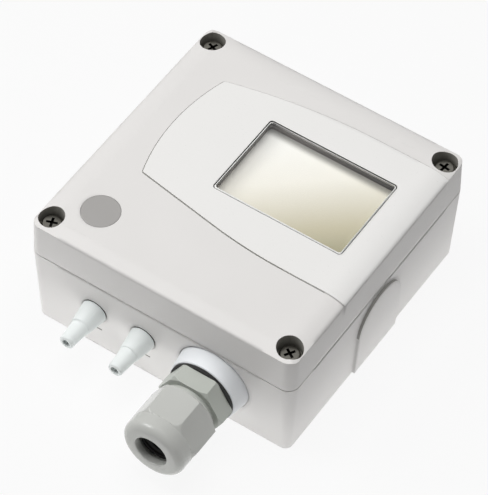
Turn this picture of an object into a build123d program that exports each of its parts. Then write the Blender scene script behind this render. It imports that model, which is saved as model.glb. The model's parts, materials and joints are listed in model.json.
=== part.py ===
from build123d import *
import math
import os

# Wall-mounting differential pressure transmitter, in millimetres.
# It lies on its back face: +Z comes out of the display, -Y is the side with
# the hose connectors and the cable gland. The origin is the back face's centre.

# Housing outside, measured at the parting line
housing_width = 120.0
housing_depth = 122.0
housing_height = 57.0
parting_height = 39.0
parting_gap = 0.4
plan_corner_radius = 5.0
base_draft = 2.5
lid_draft = 1.8

# Housing inside
floor_thickness = 3.0
seal_inset = 2.8
seal_corner_radius = 3.5
column_width = 19.5
column_depth = 16.0
base_wall_behind_seal = 1.9
pocket_wall = 3.6
pocket_corner_radius = 2.0

# Tongue, groove and seal cord
tongue_width = 1.2
tongue_height = 3.0
seal_width = 2.2
seal_height = 2.0
groove_clearance = 0.1
groove_rib = 1.6

# Lid outside
lid_top_wall = 2.6
lid_skirt_wall = 2.2
front_bevel_run = 6.3
front_bevel_drop = 1.6
rollover_run = 9.5
rollover_drop = 2.2
section_below_parting = 2.0

# Raised panel round the window
panel_step = 0.4
panel_side_height = 49.4
panel_left_reach = 54.9
panel_front_left_reach = 29.2
panel_back_left_reach = 26.3
panel_left_bulge = 4.5
panel_back_reach = 35.1
panel_back_bend_offset = 11.3
panel_front_bend_offset = -18.1
panel_front_bend_run = 33.0
panel_front_slope = 0.165
panel_corner_radius = 1.2
panel_overrun = 10.0
panel_slab_overrun = 1.0
panel_groove_width = 0.35
panel_groove_depth = 0.25
corner_tolerance = 0.1

# Window pane
window_right_margin = 13.8
window_back_margin = 28.45
window_width = 58.2
window_depth = 40.7
window_corner_radius = 1.5
pane_clearance = 0.15
pane_below_surface = 0.05
pane_edge_chamfer = 0.3
pane_flange = 2.2
pane_flange_thickness = 1.0

# Disc in the front left corner of the lid
disc_inset_x = 20.2
disc_inset_y = 19.4
disc_radius = 7.7
disc_thickness = 0.8
disc_seat_depth = 0.7
disc_clearance = 0.1
disc_edge_chamfer = 0.15

# Lid screws, wells and inserts
screw_inset_x = 6.2
screw_inset_y = 7.2
well_radius = 5.15
well_depth = 7.1
sleeve_radius = 6.4
shank_radius = 2.0
shank_clearance = 0.25
insert_clearance = 0.05
screw_head_radius = 4.1
screw_head_height = 3.0
screw_head_edge = 0.8
screw_length = 22.0
recess_width = 1.1
recess_length = 4.6
recess_depth = 1.8
recess_taper = 12.0
shank_tip_share = 0.25
insert_radius = 3.0
insert_length = 10.0
insert_seat_clearance = 0.02
boss_radius = 4.4
boss_core_depth = 26.0

# Wall-fixing holes beside the lid screws
fixing_inset_x = 13.8
fixing_inset_y = 9.5
fixing_hole_radius = 2.25
fixing_head_radius = 3.75

# Axis of the connectors and the gland
fitting_axis_height = 22.3
seat_bite = 0.1
fitting_hole_clearance = 0.15
fitting_hole_overrun = 1.0

# Blank arch-shaped boss on the right side
land_y = 0.2
land_radius = 14.7
land_centre_height = 22.5
land_proud = 1.15

# Hose connectors
high_port_inset = 29.9
low_port_x = -7.6
port_seat_radius = 6.0
port_root_radius = 5.45
port_shoulder_radius = 4.15
port_nozzle_radius = 3.8
port_tip_radius = 3.05
port_tip_round = 0.6
port_tip_round_share = 0.3
port_shoulder_chamfer = 0.2
port_shoulder_length = 9.0
port_nozzle_length = 9.4
port_bore_radius = 1.75
port_thread_radius = 4.0
port_thread_length = 8.2
port_seal_thickness = 0.6
port_seal_radius = 5.3
port_nut_flats = 12.0
port_nut_thickness = 3.5
nut_rim_share = 0.6
nipple_radius = 2.3
nipple_bore_radius = 1.2
nipple_length = 6.5
nipple_tip_chamfer = 0.4
nipple_root_length = 1.0

# Cable gland
gland_inset = 35.2
gland_seat_radius = 16.0
collar_root_radius = 15.6
collar_rim_radius = 14.5
collar_length = 8.3
collar_rim_chamfer = 0.4
ring_radius = 13.8
ring_thickness = 1.2
gland_thread_radius = 10.0
gland_thread_bore_radius = 7.2
gland_thread_reach = 17.6
thread_end_chamfer = 0.6
body_flats = 25.4
body_hex_length = 7.6
body_back_chamfer_radius = 14.2
body_front_chamfer_radius = 13.2
hex_chamfer_length = 1.1
neck_radius = 11.0
neck_length = 12.0
claw_outer_radius = 10.1
claw_inner_radius = 7.85
claw_tip_radius = 8.8
claw_length = 6.6
claw_root_length = 1.4
claw_count = 8
claw_slot_width = 1.3
claw_slot_overrun = 2.0
cable_radius = 6.5
seal_insert_radius = 7.75
seal_insert_length = 13.4
seal_insert_sink = 4.3
seal_front_chamfer_length = 1.0
seal_front_chamfer = 0.5
seal_rib_depth = 0.5
seal_rib_half_foot = 0.6
seal_rib_half_top = 0.3
seal_rib_pitch = 2.4
seal_rib_count = 3
lock_nut_flats = 24.0
lock_nut_thickness = 5.0

# Dome nut, as distances from its back face
dome_gap = 1.7
dome_length = 23.3
dome_flats = 25.4
dome_lip_radius = 12.5
dome_lip_length = 0.7
dome_chamfer_end = 2.0
dome_corner_radius = 14.6
dome_corner_end = 14.2
dome_flat_end = 16.4
dome_shoulder_radius = 13.4
dome_shoulder_start = 17.6
dome_round = 3.2
dome_mouth_radius = 7.0
dome_mouth_round = 0.5
dome_thread_clearance = 0.06
dome_thread_depth = 13.8
dome_cone_end = 20.5

# Main board
board_thickness = 1.6
board_side_gap = 1.2
board_end_gap = 15.3
main_board_height = 9.0
board_corner_radius = 2.0
post_inset_x = 3.5
post_inset_y = 4.0
post_radius = 3.2
board_hole_radius = 1.3
board_screw_radius = 1.0
board_screw_grip = 5.0
board_screw_tip_gap = 0.5
board_screw_head_radius = 1.9
board_screw_head_height = 1.6
board_screw_head_edge = 0.4
board_screw_recess_length = 2.6
thread_fit_clearance = 0.02

# Parts soldered to the main board, from its centre
chip_side = 12.0
chip_height = 1.4
chip_place = (0, 8)
driver_length = 7.0
driver_width = 5.0
driver_height = 1.6
driver_places = [(-24, 6), (-24, 16)]
coil_side = 8.0
coil_height = 4.5
coil_corner_radius = 1.2
coil_place = (34, 2)
can_radius = 4.0
can_height = 10.0
can_rim_radius = 0.5
can_places = [(34, 16), (-36, 12)]

# Pressure cell
cell_width = 30.0
cell_depth = 15.0
cell_height = 23.4
cell_corner_radius = 2.0
cell_gap_to_ports = 9.5
cell_cover_height = 3.0
cell_cover_inset = 3.0
cell_bore_depth = 4.0
hose_wall = 1.3
hose_fit_clearance = 0.03
hose_end_gap = 0.4

# Screw terminals
terminal_pitch = 5.08
terminal_depth = 8.6
terminal_height = 10.0
terminal_edge_from_board = 1.0
terminal_wire_opening = 3.4
terminal_wire_sink = 5.6
terminal_wire_floor = 1.0
terminal_screw_radius = 1.7
terminal_screw_height = 2.4
terminal_screw_back = 0.6
terminal_shaft_depth = 3.2
terminal_shaft_clearance = 0.15
terminal_slot_width = 0.6
terminal_slot_depth = 0.8
terminal_chamfer = 1.6
supply_poles = 3
output_poles = 4
terminal_right_inset = 25.4
terminal_gap = 3.4

# Display
lcd_surface_depth = 6.9
lcd_thickness = 2.8
lcd_border = 2.4
lcd_clearance = 0.15
backlight_thickness = 1.8
bezel_wall = 1.7
bezel_lip_height = 2.4
bezel_opening_margin = 0.2
bezel_lug_radius = 2.8
bezel_lug_height = 2.0
bezel_lug_offset = 17.0
bezel_lug_out = 0.75
bezel_lug_clearance = 0.2
display_board_side_margin = 3.3
display_board_end_margin = 0.9
display_board_corner_radius = 3.0
standoff_flats = 5.0
standoff_hole_depth = 8.0
standoff_screw_tip_gap = 2.0

# Flat cable between the boards
cable_width = 14.0
cable_thickness = 0.8
cable_bow = 5.0
cable_offset = 11.8
cable_lead = 1.0
cable_slot_clearance = 0.2
socket_width = 19.0
socket_depth = 5.0
socket_height = 5.5
cable_plug_depth = 3.5

# Values worked out from the ones above
half_width = housing_width / 2
half_depth = housing_depth / 2
window_x = half_width - window_right_margin - window_width / 2
window_y = half_depth - window_back_margin - window_depth / 2
panel_left = window_x - panel_left_reach
panel_front_left = window_y - panel_front_left_reach
panel_back_left = window_y + panel_back_left_reach
panel_back = window_y + panel_back_reach
panel_back_bend = window_x + panel_back_bend_offset
panel_front_bend_start = window_x + panel_front_bend_offset
disc_x = disc_inset_x - half_width
disc_y = disc_inset_y - half_depth
high_port_x = high_port_inset - half_width
gland_x = half_width - gland_inset
base_slope = math.tan(math.radians(base_draft))
skirt_bottom = parting_height + parting_gap
lid_inside_top = housing_height - lid_top_wall
seal_bottom = parting_height + tongue_height
seal_top = seal_bottom + seal_height
groove_half = seal_width / 2 + groove_clearance
well_floor = housing_height - well_depth
screw_x = half_width - screw_inset_x
screw_y = half_depth - screw_inset_y
fixing_x = half_width - fixing_inset_x
fixing_y = half_depth - fixing_inset_y
panel_top = housing_height + panel_step
pane_top = panel_top - pane_below_surface
lcd_top = pane_top - lcd_surface_depth
backlight_top = lcd_top - lcd_thickness
display_board_top = backlight_top - backlight_thickness
display_board_bottom = display_board_top - board_thickness
main_board_top = main_board_height + board_thickness
inner_wall_distance = half_depth - seal_inset - base_wall_behind_seal
lcd_width = window_width + 2 * lcd_border
lcd_depth = window_depth + 2 * lcd_border
bezel_width = lcd_width + 2 * (lcd_clearance + bezel_wall)
bezel_depth = lcd_depth + 2 * (lcd_clearance + bezel_wall)
display_board_width = bezel_width + 2 * display_board_side_margin
display_board_depth = bezel_depth + 2 * display_board_end_margin
inner_side_distance = half_width - seal_inset - base_wall_behind_seal
main_board_width = 2 * (inner_side_distance - board_side_gap)
main_board_depth = 2 * (inner_wall_distance - board_end_gap)
board_post_x = main_board_width / 2 - post_inset_x
board_post_y = main_board_depth / 2 - post_inset_y
output_terminal_x = half_width - terminal_right_inset
supply_terminal_x = output_terminal_x - terminal_gap - (supply_poles + output_poles) * terminal_pitch / 2
cable_x = window_x
cable_y = window_y + cable_offset
four_corners = [(-1, -1), (1, -1), (-1, 1), (1, 1)]


def front_wall_distance(height):
    """How far the drafted front wall stands from the XZ plane at a height."""
    return half_depth - (parting_height - height) * base_slope


# Distances from the XZ plane towards the front, along the fittings' axes
port_seat = front_wall_distance(fitting_axis_height - port_seat_radius) - seat_bite
port_root = port_seat + port_seal_thickness
port_thread_end = port_root - port_thread_length
port_nipple_end = port_thread_end - nipple_length
gland_seat = front_wall_distance(fitting_axis_height - gland_seat_radius) - seat_bite
collar_rim = gland_seat + collar_length
body_back = collar_rim + ring_thickness
body_front = body_back + body_hex_length
neck_end = body_front + neck_length
dome_back = body_front + dome_gap
dome_front = dome_back + dome_length
seal_insert_front = dome_front - seal_insert_sink
cell_front = port_nipple_end - cell_gap_to_ports


def at_corners(x, y, z=0.0):
    """Four places mirrored about both centre planes."""
    return [Pos(side_x * x, side_y * y, z) for side_x, side_y in four_corners]


def cylinder_between(radius, low, high):
    """Upright cylinder between two heights."""
    return Pos(0, 0, low) * extrude(Circle(radius), amount=high - low)


def prism(sketch, low, high):
    """Sketch extruded between two heights."""
    return extrude(Plane.XY.offset(low) * sketch, amount=high - low)


def axis_plane(x):
    """Plane on a fitting's axis whose normal points out of the front wall."""
    return Plane(origin=(x, 0, fitting_axis_height), x_dir=(1, 0, 0), z_dir=(0, -1, 0))


def turned(corners, x):
    """Solid of revolution on a fitting's axis, from (radius, distance) corners."""
    profile = Plane.XZ * make_face(Polyline(*corners, close=True))
    return axis_plane(x) * revolve(profile, Axis.Z)


def hexagon(flats, start, end, x):
    """Hexagonal prism on a fitting's axis between two distances."""
    outline = RegularPolygon(flats / 2, 6, major_radius=False)
    return axis_plane(x) * prism(outline, start, end)


def housing_outline(grow=0.0):
    """Plan of the housing at the parting line, grown by a distance."""
    return RectangleRounded(housing_width + 2 * grow, housing_depth + 2 * grow, plan_corner_radius + grow)


def seal_outline(grow):
    """Seal line, which runs inside the four screw columns, grown by a distance."""
    plan = Rectangle(housing_width - 2 * seal_inset, housing_depth - 2 * seal_inset)
    column = Rectangle(2 * column_width, 2 * column_depth)
    for place in at_corners(half_width, half_depth):
        plan -= place * column
    plan = fillet(plan.vertices(), seal_corner_radius)
    return offset(plan, amount=grow)


def seal_band(half_band):
    """Closed band of even width along the seal line."""
    return seal_outline(half_band) - seal_outline(-half_band)


def corner_pockets(wall, behind_seal):
    """Plan of the four hollows outside the seal line."""
    inner = RectangleRounded(housing_width - 2 * wall, housing_depth - 2 * wall, pocket_corner_radius)
    return inner - seal_outline(behind_seal)


def side_land_outline():
    """Arch on the right wall: a half disc on top of a straight band down to the back face."""
    disc = Pos(land_y, land_centre_height) * Circle(land_radius)
    band = Pos(land_y, land_centre_height / 2) * Rectangle(2 * land_radius, land_centre_height)
    return disc + band


def make_rear_housing():
    """Lower moulding: drafted walls, tongue, screw columns, posts and fitting seats."""
    plan = Plane.XY.offset(parting_height) * housing_outline()
    body = extrude(plan, amount=-parting_height, taper=base_draft)
    wider = Plane.XY.offset(parting_height) * housing_outline(land_proud)
    land = extrude(Plane.YZ.offset(half_width - seal_inset) * side_land_outline(), amount=housing_width)
    body += land & extrude(wider, amount=-parting_height, taper=base_draft)

    body += prism(seal_band(tongue_width / 2), parting_height, parting_height + tongue_height)
    body -= prism(seal_outline(-base_wall_behind_seal), floor_thickness, parting_height)

    pocket = prism(corner_pockets(pocket_wall, base_wall_behind_seal), floor_thickness, parting_height)
    for place in at_corners(screw_x, screw_y):
        pocket -= place * cylinder_between(boss_radius, 0, parting_height)
    body -= pocket

    for place in at_corners(screw_x, screw_y):
        body -= place * cylinder_between(insert_radius + insert_seat_clearance,
                                         parting_height - insert_length, parting_height)
        body -= place * cylinder_between(shank_radius + shank_clearance,
                                         parting_height - boss_core_depth, parting_height)
    for place in at_corners(fixing_x, fixing_y):
        body -= place * cylinder_between(fixing_hole_radius, 0, floor_thickness)
        body -= place * cylinder_between(fixing_head_radius, floor_thickness, parting_height)

    for place in at_corners(board_post_x, board_post_y):
        body += place * cylinder_between(post_radius, floor_thickness, main_board_height)
        body -= place * cylinder_between(board_screw_radius + thread_fit_clearance,
                                         main_board_height - board_screw_grip, main_board_height)

    for x in (high_port_x, low_port_x):
        body -= axis_plane(x) * cylinder_between(port_seat_radius, port_seat, housing_depth)
        body -= axis_plane(x) * cylinder_between(port_thread_radius + fitting_hole_clearance,
                                                 inner_wall_distance - fitting_hole_overrun, port_seat)
    body -= axis_plane(gland_x) * cylinder_between(gland_seat_radius, gland_seat, housing_depth)
    body -= axis_plane(gland_x) * cylinder_between(gland_thread_radius + fitting_hole_clearance,
                                                   inner_wall_distance - fitting_hole_overrun, gland_seat)
    return body


def make_thread_inserts():
    """Brass sleeves that the lid screws enter."""
    sleeve = cylinder_between(insert_radius, parting_height - insert_length, parting_height)
    sleeve -= cylinder_between(shank_radius + insert_clearance,
                               parting_height - insert_length, parting_height)
    return [place * sleeve for place in at_corners(screw_x, screw_y)]


def side_profile(top, reach):
    """Lid section across the width: flat top, then a soft rollover to each side."""
    bottom = parting_height - section_below_parting
    flat = reach - rollover_run
    edge_height = top - rollover_drop
    right = TangentArc((flat, top), (reach, edge_height), tangent=(1, 0))
    left = TangentArc((-flat, top), (-reach, edge_height), tangent=(-1, 0))
    rest = [
        Line((-flat, top), (flat, top)),
        Line((reach, edge_height), (reach, bottom)),
        Line((reach, bottom), (-reach, bottom)),
        Line((-reach, bottom), (-reach, edge_height)),
    ]
    section = Plane.XZ * make_face([right, left] + rest)
    return extrude(section, amount=housing_depth, both=True)


def depth_profile(top, reach):
    """Lid section along the depth: front bevel, flat top, soft rollover at the back."""
    bottom = parting_height - section_below_parting
    flat_back = reach - rollover_run
    flat_front = -reach + front_bevel_run
    edge_height = top - rollover_drop
    bevel_height = top - front_bevel_drop
    back = TangentArc((flat_back, top), (reach, edge_height), tangent=(1, 0))
    rest = [
        Line((reach, edge_height), (reach, bottom)),
        Line((reach, bottom), (-reach, bottom)),
        Line((-reach, bottom), (-reach, bevel_height)),
        Line((-reach, bevel_height), (flat_front, top)),
        Line((flat_front, top), (flat_back, top)),
    ]
    section = Plane.YZ * make_face([back] + rest)
    return extrude(section, amount=housing_width, both=True)


def panel_outline():
    """Plan of the raised panel: bowed left side, long arcs to the right edge."""
    reach = half_width + panel_overrun
    bend_end = panel_front_bend_start + panel_front_bend_run
    start_y = panel_front_left - panel_front_slope * (panel_front_bend_start - panel_left)
    angle = math.atan(panel_front_slope)
    end_y = start_y - panel_front_bend_run * math.tan(angle / 2)
    left_middle = (panel_front_left + panel_back_left) / 2
    front_left = (panel_left, panel_front_left)
    back_left = (panel_left, panel_back_left)
    edges = [
        ThreePointArc(front_left, (panel_left - panel_left_bulge, left_middle), back_left),
        TangentArc((panel_back_bend, panel_back), back_left, tangent=(-1, 0)),
        Line((panel_back_bend, panel_back), (reach, panel_back)),
        Line((reach, panel_back), (reach, end_y)),
        Line((reach, end_y), (bend_end, end_y)),
        TangentArc((bend_end, end_y), (panel_front_bend_start, start_y), tangent=(-1, 0)),
        Line((panel_front_bend_start, start_y), front_left),
    ]
    plan = make_face(edges)
    corners = plan.vertices().filter_by(lambda corner: corner.X < panel_left + corner_tolerance)
    return fillet(corners, panel_corner_radius)


def window_outline(grow=0.0):
    """Plan of the window opening, grown by a distance."""
    plan = RectangleRounded(window_width + 2 * grow, window_depth + 2 * grow, window_corner_radius + grow)
    return Pos(window_x, window_y) * plan


def make_lid():
    """Upper moulding: skirt, bevel and rollovers, raised panel, window, wells, groove."""
    skirt = Plane.XY.offset(skirt_bottom) * housing_outline()
    outside = extrude(skirt, amount=housing_height, taper=lid_draft)
    outside = outside & side_profile(housing_height, half_width) & depth_profile(housing_height, half_depth)

    lid_slope = math.tan(math.radians(lid_draft))
    panel_half = half_width - (panel_side_height - skirt_bottom) * lid_slope
    slab = prism(panel_outline(), panel_side_height, panel_top + panel_slab_overrun)
    slab = slab & Box(2 * panel_half, housing_depth, 4 * housing_height)
    slab = slab & side_profile(panel_top, half_width) & depth_profile(panel_top, half_depth)
    groove_plan = offset(panel_outline(), amount=panel_groove_width) - panel_outline()
    groove_floor = housing_height - panel_groove_depth
    under_groove = side_profile(groove_floor, half_width) & depth_profile(groove_floor, half_depth)
    outside -= prism(groove_plan, panel_side_height, panel_top) - under_groove
    outside += slab

    body = outside - prism(seal_outline(-groove_half - groove_rib), skirt_bottom, lid_inside_top)
    body -= prism(seal_band(groove_half), skirt_bottom, seal_top)

    pocket = prism(corner_pockets(lid_skirt_wall, groove_half + groove_rib), skirt_bottom, well_floor)
    for place in at_corners(screw_x, screw_y):
        pocket -= place * cylinder_between(sleeve_radius, 0, housing_height)
    body -= pocket

    for place in at_corners(screw_x, screw_y):
        body += place * cylinder_between(boss_radius, parting_height, skirt_bottom)
        body -= place * cylinder_between(shank_radius + shank_clearance, parting_height, well_floor)
        body -= place * cylinder_between(well_radius, well_floor, 2 * housing_height)

    body -= prism(window_outline(), lid_inside_top, 2 * housing_height)
    disc_seat = cylinder_between(disc_radius + disc_clearance, housing_height - disc_seat_depth,
                                 2 * housing_height)
    body -= Pos(disc_x, disc_y) * disc_seat
    return body


def make_lid_gasket():
    """Seal cord in the lid's groove, pressed by the tongue."""
    return prism(seal_band(seal_width / 2), seal_bottom, seal_top)


def cross_recess(size):
    """Tapering cross slot cut down from the XY plane."""
    slot = Rectangle(size, recess_width) + Rectangle(recess_width, size)
    return extrude(slot, amount=-recess_depth, taper=recess_taper)


def pan_head_screw(radius, length, head_radius, head_height, edge, recess):
    """Screw with its head's seat on the XY plane, shank down, cross recess on top."""
    head = extrude(Circle(head_radius), amount=head_height)
    rim = head.edges().filter_by(GeomType.CIRCLE).sort_by(Axis.Z)[-1]
    head = fillet(rim, edge)
    shank = cylinder_between(radius, -length, 0)
    tip = shank.edges().filter_by(GeomType.CIRCLE).sort_by(Axis.Z)[0]
    shank = chamfer(tip, radius * shank_tip_share)
    return head + shank - Pos(0, 0, head_height) * cross_recess(recess)


def make_lid_screws():
    """Four long screws, seated on the floors of the wells."""
    screw = pan_head_screw(shank_radius, screw_length, screw_head_radius, screw_head_height,
                           screw_head_edge, recess_length)
    return [place * screw for place in at_corners(screw_x, screw_y, well_floor)]


def make_window_pane():
    """Clear pane: a plug in the opening and a flange glued under the lid's top wall."""
    plug = prism(window_outline(-pane_clearance), lid_inside_top, pane_top)
    plug = chamfer(plug.edges().group_by(Axis.Z)[-1], pane_edge_chamfer)
    flange = prism(window_outline(pane_flange), lid_inside_top - pane_flange_thickness, lid_inside_top)
    return plug + flange


def make_marker_disc():
    """Thin metal disc in its seat."""
    bottom = housing_height - disc_seat_depth
    disc = cylinder_between(disc_radius, bottom, bottom + disc_thickness)
    rim = disc.edges().group_by(Axis.Z)[-1]
    return Pos(disc_x, disc_y) * chamfer(rim, disc_edge_chamfer)


def make_port(x):
    """Hose connector: flange, conical shoulder, nozzle, thread and inner nipple."""
    shoulder = port_root + port_shoulder_length
    tip = shoulder + port_nozzle_length
    round_cut = port_tip_round_share * port_tip_round
    corners = [
        (port_bore_radius, port_thread_end),
        (port_bore_radius, tip),
        (port_tip_radius - port_tip_round, tip),
        (port_tip_radius - round_cut, tip - round_cut),
        (port_tip_radius, tip - port_tip_round),
        (port_nozzle_radius, shoulder),
        (port_shoulder_radius - port_shoulder_chamfer, shoulder),
        (port_shoulder_radius, shoulder - port_shoulder_chamfer),
        (port_root_radius, port_root),
        (port_thread_radius, port_root),
        (port_thread_radius, port_thread_end),
        (nipple_radius, port_thread_end),
        (nipple_radius, port_nipple_end + nipple_tip_chamfer),
        (nipple_radius - nipple_tip_chamfer, port_nipple_end),
        (nipple_bore_radius, port_nipple_end),
        (nipple_bore_radius, port_thread_end),
    ]
    return turned(corners, x)


def ring(inner, outer, start, end, x):
    """Plain ring on a fitting's axis."""
    return turned([(inner, start), (outer, start), (outer, end), (inner, end)], x)


def bored_nut(flats, hole_radius, start, end, x):
    """Hexagonal nut with both rims turned down at the corners."""
    corner = flats / math.sqrt(3)
    flat = flats / 2
    drop = (corner - flat) * nut_rim_share
    envelope = [
        (hole_radius, start),
        (flat, start),
        (corner, start + drop),
        (corner, end - drop),
        (flat, end),
        (hole_radius, end),
    ]
    return turned(envelope, x) & hexagon(flats, start, end, x)


def make_port_seals():
    """Flat seals under the two connectors."""
    inner = port_thread_radius + fitting_hole_clearance
    return [ring(inner, port_seal_radius, port_seat, port_root, x) for x in (high_port_x, low_port_x)]


def make_port_nuts():
    """Nuts that pull the two connectors against the wall."""
    hole = port_thread_radius + thread_fit_clearance
    start = inner_wall_distance - port_nut_thickness
    return [bored_nut(port_nut_flats, hole, start, inner_wall_distance, x)
            for x in (high_port_x, low_port_x)]


def make_sensor_cell():
    """Pressure cell with two nipples in line with the connectors."""
    centre_x = (high_port_x + low_port_x) / 2
    back = cell_front - cell_depth
    plan = RectangleRounded(cell_width, cell_depth, cell_corner_radius)
    block = prism(plan, main_board_top, main_board_top + cell_height - cell_cover_height)
    cover = RectangleRounded(cell_width - cell_cover_inset, cell_depth - cell_cover_inset,
                             cell_corner_radius)
    block += prism(cover, main_board_top + cell_height - cell_cover_height, main_board_top + cell_height)
    cell = Pos(centre_x, -(cell_front + back) / 2) * block
    nipple_end = cell_front + nipple_length
    for x in (high_port_x, low_port_x):
        cell += turned([
            (0, cell_front - nipple_root_length),
            (nipple_radius, cell_front - nipple_root_length),
            (nipple_radius, nipple_end - nipple_tip_chamfer),
            (nipple_radius - nipple_tip_chamfer, nipple_end),
            (0, nipple_end),
        ], x)
        cell -= axis_plane(x) * cylinder_between(nipple_bore_radius, cell_front - cell_bore_depth, nipple_end)
    return cell


def make_hose(x):
    """Short soft hose from a connector's nipple to the cell's nipple."""
    inner = nipple_radius + hose_fit_clearance
    start = cell_front + hose_end_gap
    end = port_thread_end - hose_end_gap
    return ring(inner, nipple_radius + hose_wall, start, end, x)


def make_gland_collar():
    """Conical spacer ring between the wall's seat and the gland."""
    bore = gland_thread_radius + fitting_hole_clearance
    return turned([
        (bore, gland_seat),
        (collar_root_radius, gland_seat),
        (collar_rim_radius, collar_rim - collar_rim_chamfer),
        (collar_rim_radius - collar_rim_chamfer, collar_rim),
        (bore, collar_rim),
    ], gland_x)


def make_gland_seal_ring():
    """Black flat seal between collar and gland body."""
    bore = gland_thread_radius + fitting_hole_clearance
    return ring(bore, ring_radius, collar_rim, body_back, gland_x)


def make_gland_body():
    """Gland body: wall thread, hexagon, nut thread and the slotted claw basket."""
    corner = body_flats / math.sqrt(3)
    thread_end = body_back - gland_thread_reach - ring_thickness
    claw_base = neck_end + claw_root_length
    claw_tip = neck_end + claw_length
    hexagonal = turned([
        (0, body_back),
        (body_back_chamfer_radius, body_back),
        (corner, body_back + hex_chamfer_length / 2),
        (corner, body_front - hex_chamfer_length),
        (body_front_chamfer_radius, body_front),
        (0, body_front),
    ], gland_x) & hexagon(body_flats, body_back, body_front, gland_x)
    barrel = turned([
        (0, thread_end),
        (gland_thread_radius - thread_end_chamfer, thread_end),
        (gland_thread_radius, thread_end + thread_end_chamfer),
        (gland_thread_radius, body_back),
        (neck_radius, body_back),
        (neck_radius, neck_end - thread_end_chamfer),
        (neck_radius - thread_end_chamfer, neck_end),
        (claw_outer_radius, neck_end),
        (claw_outer_radius, claw_base),
        (claw_tip_radius, claw_tip),
        (0, claw_tip),
    ], gland_x)
    insert_back = seal_insert_front - seal_insert_length
    barrel_bore = turned([
        (0, thread_end),
        (gland_thread_bore_radius, thread_end),
        (gland_thread_bore_radius, insert_back),
        (claw_inner_radius, insert_back),
        (claw_inner_radius, claw_tip),
        (0, claw_tip),
    ], gland_x)
    body = hexagonal + barrel - barrel_bore
    slot = Rectangle(claw_outer_radius + claw_slot_overrun, claw_slot_width, align=(Align.MIN, Align.CENTER))
    for step in range(claw_count):
        turn = Rot(0, 0, step * 360 / claw_count)
        body -= axis_plane(gland_x) * prism(turn * slot, claw_base, claw_tip)
    return body


def make_gland_seal():
    """Rubber insert that grips the cable, with shallow ribs behind its front edge."""
    back = seal_insert_front - seal_insert_length
    corners = [
        (cable_radius, back),
        (seal_insert_radius, back),
        (seal_insert_radius, seal_insert_front - seal_front_chamfer_length),
        (seal_insert_radius - seal_front_chamfer, seal_insert_front),
        (cable_radius, seal_insert_front),
    ]
    for step in range(seal_rib_count):
        middle = seal_insert_front - (step + 0.5) * seal_rib_pitch
        corners += [
            (cable_radius, middle + seal_rib_half_foot),
            (cable_radius + seal_rib_depth, middle + seal_rib_half_top),
            (cable_radius + seal_rib_depth, middle - seal_rib_half_top),
            (cable_radius, middle - seal_rib_half_foot),
        ]
    return turned(corners, gland_x)


def make_gland_dome_nut():
    """Dome nut: turned envelope with six flats, threaded inside, coned over the claws."""
    corner_end = dome_back + dome_corner_end
    shoulder = dome_back + dome_shoulder_start
    round_start = dome_front - dome_round
    nose = dome_shoulder_radius - dome_round
    thread = neck_radius + dome_thread_clearance
    outer = [
        (0, dome_back),
        (dome_lip_radius, dome_back),
        (dome_lip_radius, dome_back + dome_lip_length),
        (dome_corner_radius, dome_back + dome_chamfer_end),
        (dome_corner_radius, corner_end),
    ]
    ramp = (dome_corner_radius, corner_end)
    edges = [
        Polyline(*outer),
        TangentArc(ramp, (dome_shoulder_radius, shoulder), tangent=(0, 1)),
        Line((dome_shoulder_radius, shoulder), (dome_shoulder_radius, round_start)),
        TangentArc((dome_shoulder_radius, round_start), (nose, dome_front), tangent=(0, 1)),
        Line((nose, dome_front), (0, dome_front)),
        Line((0, dome_front), (0, dome_back)),
    ]
    profile = Plane.XZ * make_face(edges)
    envelope = axis_plane(gland_x) * revolve(profile, Axis.Z)
    flats = hexagon(dome_flats, dome_back, dome_back + dome_flat_end, gland_x)
    dome = axis_plane(gland_x) * cylinder_between(2 * dome_flats, dome_back + dome_flat_end, dome_front)
    solid = envelope & (flats + dome)
    hollow = turned([
        (0, dome_back),
        (thread, dome_back),
        (thread, dome_back + dome_thread_depth),
        (dome_mouth_radius, dome_back + dome_cone_end),
        (dome_mouth_radius, dome_front - dome_mouth_round),
        (dome_mouth_radius + dome_mouth_round, dome_front),
        (0, dome_front),
    ], gland_x)
    return solid - hollow


def make_gland_lock_nut():
    """Nut that holds the gland from inside the wall, with a flat towards each side wall."""
    hole = gland_thread_radius + thread_fit_clearance
    start = inner_wall_distance - lock_nut_thickness
    nut = bored_nut(lock_nut_flats, hole, start, inner_wall_distance, gland_x)
    spin = Axis((gland_x, 0, fitting_axis_height), (0, -1, 0))
    return nut.rotate(spin, 30)


def make_main_board():
    """Main circuit board on its four posts."""
    plan = RectangleRounded(main_board_width, main_board_depth, board_corner_radius)
    board = prism(plan, main_board_height, main_board_top)
    for place in at_corners(board_post_x, board_post_y):
        board -= place * cylinder_between(board_hole_radius, 0, parting_height)
    return board


def small_screw(length):
    """Short board screw with its head's seat on the XY plane."""
    return pan_head_screw(board_screw_radius, length, board_screw_head_radius,
                          board_screw_head_height, board_screw_head_edge,
                          board_screw_recess_length)


def make_board_screws():
    """Screws through the main board into the posts."""
    screw = small_screw(board_thickness + board_screw_grip - board_screw_tip_gap)
    return [place * screw for place in at_corners(board_post_x, board_post_y, main_board_top)]


def standing_box(width, depth, height):
    """Block that stands on the main board's top."""
    return Box(width, depth, height, align=(Align.CENTER, Align.CENTER, Align.MIN))


def make_board_components():
    """The larger parts soldered to the main board, under the display."""
    chip = standing_box(chip_side, chip_side, chip_height)
    driver = standing_box(driver_length, driver_width, driver_height)
    coil = standing_box(coil_side, coil_side, coil_height)
    coil = fillet(coil.edges().filter_by(Axis.Z), coil_corner_radius)
    can = cylinder_between(can_radius, 0, can_height)
    can = fillet(can.edges().group_by(Axis.Z)[-1], can_rim_radius)
    placed = [(chip, [chip_place]), (driver, driver_places), (coil, [coil_place]), (can, can_places)]
    return [Pos(x, y, main_board_top) * shape for shape, places in placed for x, y in places]


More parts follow.
